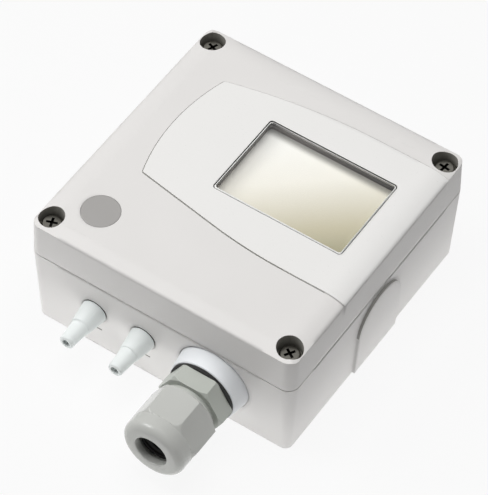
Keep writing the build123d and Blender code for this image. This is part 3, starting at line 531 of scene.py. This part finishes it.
def insideWindow(point, grow):
    s = windowSizes
    x, y = s["centre"]
    return (abs(point.x / mm - x) < s["width"] / 2 + grow
            and abs(point.y / mm - y) < s["depth"] / 2 + grow)


def blackenOpening():  # painted shadow: the opening's upright walls are painted black, so the gap round the pane reads dark
    s = windowSizes
    mesh = dressed["lid"].data
    finish = addFinish(mesh, "gapShadow")
    for face in mesh.polygons:
        onWall = s["wallLow"] * mm < face.center.z < s["wallHigh"] * mm and abs(face.normal.z) < s["upright"]
        if onWall and insideWindow(face.center, s["wallReach"]):
            face.material_index = finish


def makePane():
    s = paneSizes
    mesh = mergedCopy("window_pane")
    x, y = (c * mm for c in windowSizes["centre"])
    for vertex in mesh.vertices:
        if vertex.co.z > (s["flangeTop"] + s["flangeReach"]) * mm:
            onTop = vertex.co.z > windowSizes["wallHigh"] * mm
            inward = (s["gap"] + (s["groundEdge"] if onTop else 0)) * mm
            vertex.co.x += math.copysign(inward, x - vertex.co.x)
            vertex.co.y += math.copysign(inward, y - vertex.co.y)
    addFinish(mesh, "pane")
    ground = addFinish(mesh, "paneEdge")
    piece = linkedPiece("windowPane", mesh)
    for face in mesh.polygons:
        onStep = face.center.z > (s["flangeTop"] + s["edgeAbove"]) * mm
        if onStep and s["edgeLow"] < face.normal.z < s["edgeHigh"]:
            face.material_index = ground
    smoothShaded(mesh, s["sharpDegrees"])
    for face in mesh.polygons:  # polished faces stay truly flat, or they bend what is seen through them
        face.use_smooth = abs(face.normal.z) < s["polished"]
    showPiece(piece, "lid", "clear_plastic", "window_pane")


wellSizes = dict(x=53.8, y=53.8, radius=5.2, lowZ=49.8, rimZ=56.9)


def paintWells():
    s = wellSizes
    mesh = dressed["lid"].data
    finish = addFinish(mesh, "well")
    for face in mesh.polygons:
        x, y, z = face.center / mm
        away = math.hypot(abs(x) - s["x"], abs(y) - s["y"])
        if away < s["radius"] and s["lowZ"] < z < s["rimZ"]:
            face.material_index = finish


bossSizes = dict(y=0.2, z=22.5, radius=14.7, edgeReach=0.25, wallX=58.5, upright=0.5)


def shadeBossEdge():  # painted shade on the side face along the upper side of the blank boss on the right wall
    s = bossSizes
    mesh = dressed["rear_housing"].data
    finish = addFinish(mesh, "witness")
    for face in mesh.polygons:
        x, y, z = face.center / mm
        away = math.hypot(y - s["y"], z - s["z"])
        onEdge = x > s["wallX"] and z > s["z"] and abs(away - s["radius"]) < s["edgeReach"]
        if onEdge and abs(face.normal.x) < s["upright"]:
            face.material_index = finish


grooveSizes = dict(floorZ=56.75, floorReach=0.05, level=0.9, wallLow=56.72, wallHigh=57.38, steep=0.6,
                   maxX=50.0, maxY=50.0, windowReach=0.6)


def paintGroove():  # painted shade in the fine groove round the panel
    s, painted = grooveSizes, 0
    mesh = dressed["lid"].data
    finish = addFinish(mesh, "groove")
    for face in mesh.polygons:
        x, y, z = face.center / mm
        onFloor = abs(z - s["floorZ"]) < s["floorReach"] and face.normal.z > s["level"]
        onWall = s["wallLow"] < z < s["wallHigh"] and abs(face.normal.z) < s["steep"]
        onTop = abs(x) < s["maxX"] and abs(y) < s["maxY"] and not insideWindow(face.center, s["windowReach"])
        if (onFloor or onWall) and onTop:
            face.material_index = finish
            painted += 1
    print("groove faces:", painted)


blackenOpening()
paintWells()
paintGroove()
shadeBossEdge()
makePane()
print("lid and window finished")


def newTree(name, numbers):
    tree = bpy.data.node_groups.new(name, "GeometryNodeTree")
    tree.interface.new_socket("Geometry", in_out="INPUT", socket_type="NodeSocketGeometry")
    tree.interface.new_socket("Geometry", in_out="OUTPUT", socket_type="NodeSocketGeometry")
    for title, kind in numbers.items():
        tree.interface.new_socket(title, in_out="INPUT", socket_type="NodeSocket" + kind)
    return tree, addNode(tree, "NodeGroupInput").outputs


def paintedReal(tree, geometry, material):
    real = addNode(tree, "GeometryNodeRealizeInstances", {"Geometry": geometry}).outputs["Geometry"]
    return addNode(tree, "GeometryNodeSetMaterial", {
        "Geometry": real, "Material": material}).outputs["Geometry"]


def grownPiece(name, tree, values, points):
    seed = bpy.data.meshes.new(name + "Seed")
    seed.from_pydata([[c * mm for c in p] for p in points], [], [])
    piece = linkedPiece(name, seed)
    grown = piece.modifiers.new("grown", "NODES")
    grown.node_group = tree
    for item in tree.interface.items_tree:
        if item.in_out == "INPUT" and item.name in values:
            grown[item.identifier] = values[item.name]
    piece.data = evaluatedMesh(piece)
    piece.modifiers.clear()
    smoothShaded(piece.data)
    return piece


def inMm(sizes, *names):  # the named sizes in metres, under a tree's input names
    return {name: sizes[name] * mm for name in names}


turnedWeld = 0.0005  # mm within which the turned rows' ends are joined


def addTurning(tree, profile, around, limit):
    # turns the profile's points (radius, 0, height) round Z; limit caps the radius by angle and height
    count = addNode(tree, "GeometryNodeAttributeDomainSize", {"Geometry": profile}).outputs["Point Count"]
    columns = addNode(tree, "ShaderNodeMath", {0: around, 1: 1.0}, operation="ADD").outputs[0]
    grid = addNode(tree, "GeometryNodeMeshGrid", {
        "Size X": 1.0, "Size Y": 1.0, "Vertices X": columns, "Vertices Y": count})
    index = addNode(tree, "GeometryNodeInputIndex").outputs[0]
    row = addNode(tree, "ShaderNodeMath", {0: index, 1: count}, operation="MODULO").outputs[0]
    share = addNode(tree, "ShaderNodeMath", {0: index, 1: count}, operation="DIVIDE").outputs[0]
    column = addNode(tree, "ShaderNodeMath", {0: share}, operation="FLOOR").outputs[0]
    turned = addNode(tree, "ShaderNodeMath", {0: column, 1: around}, operation="DIVIDE").outputs[0]
    angle = addNode(tree, "ShaderNodeMath", {0: turned, 1: fullTurn}, operation="MULTIPLY").outputs[0]
    position = addNode(tree, "GeometryNodeInputPosition").outputs[0]
    sampled = addNode(tree, "GeometryNodeSampleIndex", {
        "Geometry": profile, "Value": position, "Index": row}, data_type="FLOAT_VECTOR", domain="POINT")
    corner = addNode(tree, "ShaderNodeSeparateXYZ", {"Vector": sampled.outputs[0]})
    radius, height = corner.outputs["X"], corner.outputs["Z"]
    if limit:
        radius = limit(tree, radius, height, angle)
    coordinates = {"Z": height}
    for axis, ratio in (("X", "COSINE"), ("Y", "SINE")):
        share = addNode(tree, "ShaderNodeMath", {0: angle}, operation=ratio).outputs[0]
        coordinates[axis] = addNode(tree, "ShaderNodeMath", {
            0: radius, 1: share}, operation="MULTIPLY").outputs[0]
    place = addNode(tree, "ShaderNodeCombineXYZ", coordinates).outputs[0]
    moved = addNode(tree, "GeometryNodeSetPosition", {"Geometry": grid.outputs["Mesh"], "Position": place})
    return addNode(tree, "GeometryNodeMergeByDistance", {
        "Geometry": moved.outputs["Geometry"], "Distance": turnedWeld * mm}).outputs["Geometry"]


def turnedNutTree(material):
    tree, sizes = newTree("turnedNut", {
        "acrossFlats": "Float", "flatsEnd": "Float", "flatsLift": "Float", "runOut": "Float",
        "edgeSoftness": "Float", "around": "Int", "place": "Vector"})

    def hexLimit(tree, radius, height, angle):  # keeps the radius within six flats, up to where they end
        sixth = math.pi / 3
        wedge = addNode(tree, "ShaderNodeMath", {0: angle, 1: sixth}, operation="MODULO").outputs[0]
        fromMiddle = addNode(tree, "ShaderNodeMath", {
            0: wedge, 1: sixth / 2}, operation="SUBTRACT").outputs[0]
        cosine = addNode(tree, "ShaderNodeMath", {0: fromMiddle}, operation="COSINE").outputs[0]
        half = addNode(tree, "ShaderNodeMath", {
            0: sizes["acrossFlats"], 1: 0.5}, operation="MULTIPLY").outputs[0]
        flat = addNode(tree, "ShaderNodeMath", {0: half, 1: cosine}, operation="DIVIDE").outputs[0]
        begin = addNode(tree, "ShaderNodeMath", {
            0: sizes["flatsEnd"], 1: sizes["runOut"]}, operation="SUBTRACT").outputs[0]
        lift = addNode(tree, "ShaderNodeMapRange", {
            "Value": height, "From Min": begin, "From Max": sizes["flatsEnd"], "To Min": 0.0,
            "To Max": sizes["flatsLift"]}, interpolation_type="SMOOTHSTEP").outputs[0]
        cut = addNode(tree, "ShaderNodeMath", {0: flat, 1: lift}, operation="ADD").outputs[0]
        return addNode(tree, "ShaderNodeMath", {
            0: radius, 1: cut, 2: sizes["edgeSoftness"]}, operation="SMOOTH_MIN").outputs[0]

    turned = addTurning(tree, sizes["Geometry"], sizes["around"], hexLimit)
    laid = addNode(tree, "GeometryNodeTransform", {
        "Geometry": turned, "Translation": sizes["place"], "Rotation": (math.pi / 2, 0, 0)})
    addNode(tree, "NodeGroupOutput", {"Geometry": paintedReal(tree, laid.outputs["Geometry"], material)})
    return tree


def makeNut(name, s, backY, slot, finish, profile, body, node):
    values = inMm(s, "acrossFlats", "flatsEnd", "flatsLift", "runOut", "edgeSoftness")
    values.update(around=s["around"], place=[s["axisX"] * mm, backY, s["axisZ"] * mm])
    showPiece(grownPiece(name, turnedNutTree(materials[finish]), values, profile), body, slot, node)


def arcPoints(centreRadius, centreHeight, radius, start, end, steps):
    angles = [math.radians(start + (end - start) * i / steps) for i in range(steps + 1)]
    return [(centreRadius + radius * math.cos(a), 0, centreHeight + radius * math.sin(a)) for a in angles]


def densified(points, longest):  # more rows on long runs, so that the flats' ends are smooth
    dense = [points[0]]
    for start, end in zip(points, points[1:]):
        steps = max(1, math.ceil(math.dist(start, end) / longest))
        dense += [tuple(a + (b - a) * i / steps for a, b in zip(start, end)) for i in range(1, steps + 1)]
    return dense


domeNutSizes = dict(
    axisX=24.8, axisZ=22.3, backFace=78.27, length=23.3, acrossFlats=25.4, lipRadius=12.5, lipLength=0.7,
    lipEdge=0.3, chamferEnd=2.0, cornerRadius=14.6, cornerEnd=12.6, sweepRadius=5.417, sweepDegrees=38.9,
    sweepSteps=6, shoulderRadius=13.4, noseRound=3.2, noseSteps=14, mouthRadius=7.0, mouthRound=0.5,
    mouthSteps=4, coneEnd=20.5, threadRadius=11.06, threadDepth=13.8, flatsEnd=16.5, flatsLift=3.0,
    runOut=0.9, edgeSoftness=0.45, around=144, rowStep=0.25)


def makeDomeNut():
    s = domeNutSizes
    length, mouth, nose = s["length"], s["mouthRadius"], s["shoulderRadius"] - s["noseRound"]
    outer = [(s["lipRadius"] - s["lipEdge"], 0, 0), (s["lipRadius"], 0, s["lipEdge"]),
             (s["lipRadius"], 0, s["lipLength"]), (s["cornerRadius"], 0, s["chamferEnd"]),
             (s["cornerRadius"], 0, s["cornerEnd"])]
    outer += arcPoints(s["cornerRadius"] - s["sweepRadius"], s["cornerEnd"], s["sweepRadius"],
                       0, s["sweepDegrees"], s["sweepSteps"])[1:]
    outer += arcPoints(nose, length - s["noseRound"], s["noseRound"], 0, 90, s["noseSteps"])
    inner = arcPoints(mouth + s["mouthRound"], length - s["mouthRound"], s["mouthRound"],
                      90, 180, s["mouthSteps"])
    inner += [(mouth, 0, s["coneEnd"]), (s["threadRadius"], 0, s["threadDepth"]), (s["threadRadius"], 0, 0)]
    profile = densified(outer, s["rowStep"]) + inner + outer[:1]
    makeNut("domeNut", s, -s["backFace"] * mm, "dome_plastic", "dome", profile, "dome_nut", "gland_dome_nut")


lockNutSizes = dict(
    axisX=24.8, axisZ=22.3, thickness=5.0, acrossFlats=24.0, cornerRadius=13.6, chamfer=0.7, holeRadius=10.02,
    flatsEnd=9.0, flatsLift=3.0, runOut=0.5, edgeSoftness=0.3, around=96)


def makeLockNut():
    s = lockNutSizes
    low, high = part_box("gland_lock_nut")
    corner, edge, thick = s["cornerRadius"], s["chamfer"], s["thickness"]
    profile = [(corner - edge, 0, 0), (corner, 0, edge), (corner, 0, thick - edge), (corner - edge, 0, thick),
               (s["holeRadius"], 0, thick), (s["holeRadius"], 0, 0), (corner - edge, 0, 0)]
    makeNut("glandLockNut", s, high[1], "gland_plastic", "gland", profile, "housing", "gland_lock_nut")


makeDomeNut()
makeLockNut()
print("gland nuts turned")


recessMark = "inRecess"
recessForm = dict(overrun=0.5, reachShare=0.51, tolerance=0.02)


def crossScrewTree():
    s = recessForm
    tree, sizes = newTree("crossScrews", {
        "around": "Int", "headHeight": "Float", "recessLength": "Float", "recessWidth": "Float",
        "recessDepth": "Float", "spacingX": "Float", "spacingY": "Float", "place": "Vector", "seed": "Int"})
    turned = addTurning(tree, sizes["Geometry"], sizes["around"], None)
    deep = addNode(tree, "ShaderNodeMath", {
        0: sizes["recessDepth"], 1: s["overrun"] * mm}, operation="ADD").outputs[0]
    halfDeep = addNode(tree, "ShaderNodeMath", {0: deep, 1: 0.5}, operation="MULTIPLY").outputs[0]
    floorHeight = addNode(tree, "ShaderNodeMath", {
        0: sizes["headHeight"], 1: sizes["recessDepth"]}, operation="SUBTRACT").outputs[0]
    middle = addNode(tree, "ShaderNodeMath", {0: floorHeight, 1: halfDeep}, operation="ADD").outputs[0]
    arms = []
    for x, y in (("recessLength", "recessWidth"), ("recessWidth", "recessLength")):
        bar = addNode(tree, "ShaderNodeCombineXYZ", {"X": sizes[x], "Y": sizes[y], "Z": deep}).outputs[0]
        arms.append(addNode(tree, "GeometryNodeMeshCube", {"Size": bar}).outputs["Mesh"])
    lifted = addNode(tree, "ShaderNodeCombineXYZ", {"Z": middle}).outputs[0]
    cross = addNode(tree, "GeometryNodeMeshBoolean", operation="UNION", solver="EXACT")
    for arm in arms:
        tree.links.new(arm, cross.inputs["Mesh 2"])
    raised = addNode(tree, "GeometryNodeTransform", {
        "Geometry": cross.outputs["Mesh"], "Translation": lifted})
    cut = addNode(tree, "GeometryNodeMeshBoolean", {
        "Mesh 1": turned, "Mesh 2": raised.outputs["Geometry"]}, operation="DIFFERENCE", solver="EXACT")
    spot = addNode(tree, "ShaderNodeSeparateXYZ", {
        "Vector": addNode(tree, "GeometryNodeInputPosition").outputs[0]})
    flatSpot = addNode(tree, "ShaderNodeCombineXYZ", {
        "X": spot.outputs["X"], "Y": spot.outputs["Y"]}).outputs[0]
    away = addNode(tree, "ShaderNodeVectorMath", {0: flatSpot}, operation="LENGTH").outputs["Value"]
    reach = addNode(tree, "ShaderNodeMath", {
        0: sizes["recessLength"], 1: s["reachShare"]}, operation="MULTIPLY").outputs[0]
    inside = addNode(tree, "ShaderNodeMath", {0: away, 1: reach}, operation="LESS_THAN").outputs[0]
    for height, side in ((sizes["headHeight"], "LESS_THAN"), (floorHeight, "GREATER_THAN")):
        bound = addNode(tree, "ShaderNodeMath", {
            0: height, 1: s["tolerance"] * mm}, operation="SUBTRACT").outputs[0]
        within = addNode(tree, "ShaderNodeMath", {0: spot.outputs["Z"], 1: bound}, operation=side).outputs[0]
        inside = addNode(tree, "ShaderNodeMath", {0: inside, 1: within}, operation="MULTIPLY").outputs[0]
    marked = addNode(tree, "GeometryNodeStoreNamedAttribute", {
        "Geometry": cut.outputs["Mesh"], "Name": recessMark, "Value": inside},
        data_type="BOOLEAN", domain="FACE")
    corners = addNode(tree, "GeometryNodeMeshGrid", {
        "Size X": sizes["spacingX"], "Size Y": sizes["spacingY"], "Vertices X": 2, "Vertices Y": 2})
    seats = addNode(tree, "GeometryNodeTransform", {
        "Geometry": corners.outputs["Mesh"], "Translation": sizes["place"]})
    spin = addNode(tree, "FunctionNodeRandomValue", {
        0: (0, 0, 0), 1: (0, 0, fullTurn / 4), "Seed": sizes["seed"]}, data_type="FLOAT_VECTOR").outputs[0]
    placed = addNode(tree, "GeometryNodeInstanceOnPoints", {
        "Points": seats.outputs["Geometry"], "Instance": marked.outputs["Geometry"], "Rotation": spin})
    steel = paintedReal(tree, placed.outputs["Instances"], materials["steel"])
    # the recess faces get the steel with painted shade
    recessFaces = addNode(tree, "GeometryNodeInputNamedAttribute", {"Name": recessMark}, data_type="BOOLEAN")
    dark = addNode(tree, "GeometryNodeSetMaterial", {
        "Geometry": steel, "Selection": recessFaces.outputs["Attribute"], "Material": materials["recess"]})
    addNode(tree, "NodeGroupOutput", {"Geometry": dark.outputs["Geometry"]})
    return tree


smallScrew = dict(
    body="housing", headRadius=1.9, headHeight=1.6, headEdge=0.4, shankRadius=1.0, recessLength=2.6,
    recessWidth=0.7, recessDepth=1.0, pitch=0.45, threadDepth=0.15)
screwSets = {
    "lidScrews": dict(
        node="lid_screws", body="lid", seat=(0, 0, 49.9), spacingX=107.6, spacingY=107.6, headRadius=4.1,
        headHeight=3.0, headEdge=0.8, shankRadius=2.0, shankLength=22.0, recessLength=4.6, recessWidth=1.1,
        recessDepth=1.8, pitch=0.7, threadDepth=0.35, threadLength=9.5, seed=3),
    "boardScrews": dict(
        smallScrew, node="board_screws", seat=(0, 0, 10.6), spacingX=101.2, spacingY=74.0, shankLength=6.1,
        threadLength=4.4, seed=5),
    "displayScrews": dict(
        smallScrew, node="display_screws", seat=(17.1, 12.2, 47.85), spacingX=68.2, spacingY=34.0,
        shankLength=9.6, threadLength=5.9, seed=8),
}


screwForm = dict(tipShare=0.75, tipLength=0.4, crestShare=0.5, neck=0.1, underEdge=0.15, edgeStart=15,
                 edgeSteps=5)


def screwProfile(s):
    form = screwForm
    tip, radius, head = -s["shankLength"], s["shankRadius"], s["headRadius"]
    edge, under = s["headEdge"], form["underEdge"]
    points = [(0, 0, tip), (radius * form["tipShare"], 0, tip)]
    for turn in range(int(s["threadLength"] / s["pitch"])):  # thread drawn as rings, one for each turn
        root = tip + form["tipLength"] + turn * s["pitch"]
        points += [(radius - s["threadDepth"], 0, root),
                   (radius, 0, root + s["pitch"] * form["crestShare"])]
    points += [(radius, 0, -form["neck"]), (radius, 0, 0), (head - under, 0, 0), (head, 0, under),
               (head, 0, s["headHeight"] - edge)]
    points += arcPoints(head - edge, s["headHeight"] - edge, edge, form["edgeStart"], 90, form["edgeSteps"])
    return points + [(0, 0, s["headHeight"])]


screwsAround = 40
screwTree = crossScrewTree()
for name, s in screwSets.items():
    values = inMm(s, "headHeight", "recessLength", "recessWidth", "recessDepth", "spacingX", "spacingY")
    values.update(around=screwsAround, seed=s["seed"], place=[c * mm for c in s["seat"]])
    piece = grownPiece(name, screwTree, values, screwProfile(s))
    piece.data.attributes.remove(piece.data.attributes[recessMark])
    showPiece(piece, s["body"], "screw_steel", s["node"])
print("sets of screws placed:", len(screwSets))


def boxesTree(name, material):  # equal small blocks on a set of points, narrower at the top
    tree, sizes = newTree(name, {"long": "Float", "wide": "Float", "high": "Float", "topShare": "Float"})
    block = addNode(tree, "GeometryNodeMeshCone", {
        "Vertices": 4, "Radius Top": sizes["topShare"], "Radius Bottom": 1.0, "Depth": 1.0})
    squared = addNode(tree, "GeometryNodeTransform", {
        "Geometry": block.outputs["Mesh"], "Rotation": (0, 0, math.pi / 4)})
    scale = addNode(tree, "ShaderNodeCombineXYZ", {
        "X": sizes["long"], "Y": sizes["wide"], "Z": sizes["high"]}).outputs[0]
    half = addNode(tree, "ShaderNodeVectorMath", {
        0: scale, 1: (1 / math.sqrt(2), 1 / math.sqrt(2), 1.0)}, operation="MULTIPLY").outputs[0]
    placed = addNode(tree, "GeometryNodeInstanceOnPoints", {
        "Points": sizes["Geometry"], "Instance": squared.outputs["Geometry"], "Scale": half})
    addNode(tree, "NodeGroupOutput", {
        "Geometry": paintedReal(tree, placed.outputs["Instances"], material)})
    return tree


boardTop = 10.6
smallPartRows = dict(  # first place, step and count of each row of small parts on the main board
    rows=[((-14, -4), (0, 4.0), 6), ((-9.5, -4), (0, 4.0), 6), ((14, -6), (0, 3.6), 8),
          ((19, -6), (0, 3.6), 8), ((-20, -6), (3.4, 0), 3), ((24, 24), (3.4, 0), 5),
          ((-22, 28), (3.6, 0), 9), ((-22, 32), (3.6, 0), 9)],
    bodyLong=1.5, bodyWide=1.25, bodyHigh=0.55, capLong=0.3, capOverlap=0.1, topShare=0.94)
legRows = dict(  # centre, number of legs on a side, pitch and reach for each packaged chip
    chips=[((0, 8), 14, 0.8, 6.0, "xy"), ((-24, 6), 4, 1.27, 2.5, "x"), ((-24, 16), 4, 1.27, 2.5, "x")],
    legWide=0.35, footLong=1.3, footUnder=0.3, legHigh=0.2, topShare=0.9)


def rowPlaces(height):
    return [(x + dx * i, y + dy * i, height)
            for (x, y), (dx, dy), count in smallPartRows["rows"] for i in range(count)]


def makeSmallParts():
    s = smallPartRows
    tree = boxesTree("ceramicBodies", materials["ceramic"])
    values = dict(long=s["bodyLong"] * mm, wide=s["bodyWide"] * mm, high=s["bodyHigh"] * mm,
                  topShare=s["topShare"])
    places = rowPlaces(boardTop + s["bodyHigh"] / 2)
    piece = grownPiece("smallPartBodies", tree, values, places)
    showPiece(piece, "housing", "component_black")
    caps = [(x + side * (s["bodyLong"] + s["capLong"]) / 2, y, z) for x, y, z in places for side in (-1, 1)]
    tree = boxesTree("solderedCaps", materials["tin"])
    values.update(long=(s["capLong"] + s["capOverlap"]) * mm, wide=(s["bodyWide"] + s["capOverlap"]) * mm)
    piece = grownPiece("smallPartCaps", tree, values, caps)
    showPiece(piece, "housing", "screw_steel")


def makeLegs():
    s = legRows
    alongX, alongY = [], []
    for (x, y), count, pitch, reach, sides in s["chips"]:
        for i in range(count):
            offset = (i - (count - 1) / 2) * pitch
            away = reach + s["footLong"] / 2 - s["footUnder"]
            for side in (-1, 1):
                alongY.append((x + offset, y + side * away, boardTop + s["legHigh"] / 2))
                if "y" in sides:
                    alongX.append((x + side * away, y + offset, boardTop + s["legHigh"] / 2))
    for name, places, long, wide in (("legsAcross", alongX, s["footLong"], s["legWide"]),
                                     ("legsAlong", alongY, s["legWide"], s["footLong"])):
        tree = boxesTree(name + "Tree", materials["tin"])
        values = dict(long=long * mm, wide=wide * mm, high=s["legHigh"] * mm, topShare=s["topShare"])
        showPiece(grownPiece(name, tree, values, places), "housing", "screw_steel")


makeSmallParts()
makeLegs()
print("board parts placed")

tickSizes = dict(places=[(-28.5, 11.8), (-6.0, 11.8)], long=2.8, high=0.6, proud=0.06, sunk=0.03,
                 endSteps=6, parting=39.0, wallAtParting=61.0, draft=2.5)


def makeTicks():  # short plain mark beside each connector, printed on the drafted wall
    s = tickSizes
    shape = bmesh.new()
    slope = math.tan(math.radians(s["draft"]))
    radius = s["high"] / 2
    for x, z in s["places"]:
        ring = []
        for side, start in ((1, -90), (-1, 90)):
            for step in range(s["endSteps"] + 1):
                angle = math.radians(start + step * 180 / s["endSteps"])
                ring.append((x + side * (s["long"] / 2 - radius) + radius * math.cos(angle),
                             z + radius * math.sin(angle)))
        layers = []
        for proud in (-s["sunk"], s["proud"]):
            layers.append([shape.verts.new((
                px * mm, -(s["wallAtParting"] - (s["parting"] - pz) * slope + proud) * mm, pz * mm))
                for px, pz in ring])
        back, front = layers
        shape.faces.new(front)
        shape.faces.new(back[::-1])
        for i in range(len(ring)):
            j = (i + 1) % len(ring)
            shape.faces.new((back[i], back[j], front[j], front[i]))
    bmesh.ops.recalc_face_normals(shape, faces=shape.faces)
    mesh = bpy.data.meshes.new("portMarks")
    shape.to_mesh(mesh)
    shape.free()
    addFinish(mesh, "ink")
    smoothShaded(mesh)
    showPiece(linkedPiece("portMarks", mesh), "housing", "housing_plastic")


makeTicks()
print("marks made")

stageSizes = dict(floorSide=6.0, floorDrop=0.0001, seenShare=0.9)


def seenDirectly(tree):  # 1 for what the camera, a mirror or clear plastic shows
    path = addNode(tree, "ShaderNodeLightPath").outputs
    seen = path["Is Camera Ray"]
    for ray in ("Is Glossy Ray", "Is Transmission Ray"):
        seen = addNode(tree, "ShaderNodeMath", {0: seen, 1: path[ray]}, operation="MAXIMUM").outputs[0]
    return seen


def makeStage():
    half, low = stageSizes["floorSide"] / 2, -stageSizes["floorDrop"]
    mesh = bpy.data.meshes.new("floor")
    mesh.from_pydata([(-half, -half, low), (half, -half, low), (half, half, low), (-half, half, low)],
                     [], [(0, 1, 2, 3)])
    floor = linkedPiece("floor", mesh)
    material, tree = emptyMaterial("paleFloor")
    share = addNode(tree, "ShaderNodeMath", {0: seenDirectly(tree), 1: stageSizes["seenShare"]},
                    operation="MULTIPLY")
    paint = addNode(tree, "ShaderNodeBsdfDiffuse", {"Color": linearColour("C8C8C8")})
    glow = addNode(tree, "ShaderNodeEmission", {"Color": (1, 1, 1, 1), "Strength": 1.0})
    mixed = addNode(tree, "ShaderNodeMixShader", {
        0: share.outputs[0], 1: paint.outputs["BSDF"], 2: glow.outputs["Emission"]})
    addNode(tree, "ShaderNodeOutputMaterial", {"Surface": mixed.outputs["Shader"]})
    mesh.materials.append(material)


makeStage()

worldLight = dict(ambient=0.02, seen=1.0)


def makeWorld():
    world = bpy.data.worlds.new("studio")
    world.use_nodes = True
    tree = world.node_tree
    tree.nodes.clear()
    strength = addNode(tree, "ShaderNodeMapRange", {
        "Value": seenDirectly(tree), "To Min": worldLight["ambient"], "To Max": worldLight["seen"]})
    sky = addNode(tree, "ShaderNodeBackground", {
        "Color": (1, 1, 1, 1), "Strength": strength.outputs["Result"]})
    addNode(tree, "ShaderNodeOutputWorld", {"Surface": sky.outputs["Background"]})
    bpy.context.scene.world = world


makeWorld()

lamps = {  # two softboxes, and the pale table's glow on the foot of the walls
    "keySoftbox": dict(
        place=(-0.95, -0.4, 1.2), aim=(0, 0, 0.03), wide=0.8, deep=0.8, watts=10.5, mirrored=True),
    "overheadSoftbox": dict(
        place=(0, 0, 1.6), aim=(0, 0, 0.03), wide=1.0, deep=1.0, watts=19.5, mirrored=False),
    "tableGlow": dict(
        place=(-0.05, -0.02, 0.00002), aim=(-0.05, -0.02, 1), wide=0.3, deep=0.27, watts=0.28,
        mirrored=False),
}


def makeLamps():
    for name, lamp in lamps.items():
        light = bpy.data.lights.new(name, "AREA")
        light.shape = "RECTANGLE"
        light.size, light.size_y = lamp["wide"], lamp["deep"]
        light.energy = lamp["watts"]
        holder = linkedPiece(name, light)
        holder.visible_camera = False
        holder.visible_glossy = lamp["mirrored"]  # the lamp overhead would whiten the pane
        holder.location = lamp["place"]
        direction = Vector(lamp["aim"]) - Vector(lamp["place"])
        holder.rotation_mode = "QUATERNION"
        holder.rotation_quaternion = direction.to_track_quat("-Z", "Y")


makeLamps()

cameraSetting = dict(place=(0.412518, -0.645377, 0.994386), turn=(38.1637, -0.9919, 33.9703), lens=232.033,
                     near=0.05, far=20)


def makeCamera():
    data = bpy.data.cameras.new("camera")
    data.lens, data.clip_start, data.clip_end = (cameraSetting[key] for key in ("lens", "near", "far"))
    camera = linkedPiece("camera", data)
    camera.location = cameraSetting["place"]
    camera.rotation_euler = [math.radians(a) for a in cameraSetting["turn"]]
    bpy.context.scene.camera = camera


makeCamera()
bpy.context.scene.view_settings.view_transform = "Standard"
print("stage, lamps and camera set")
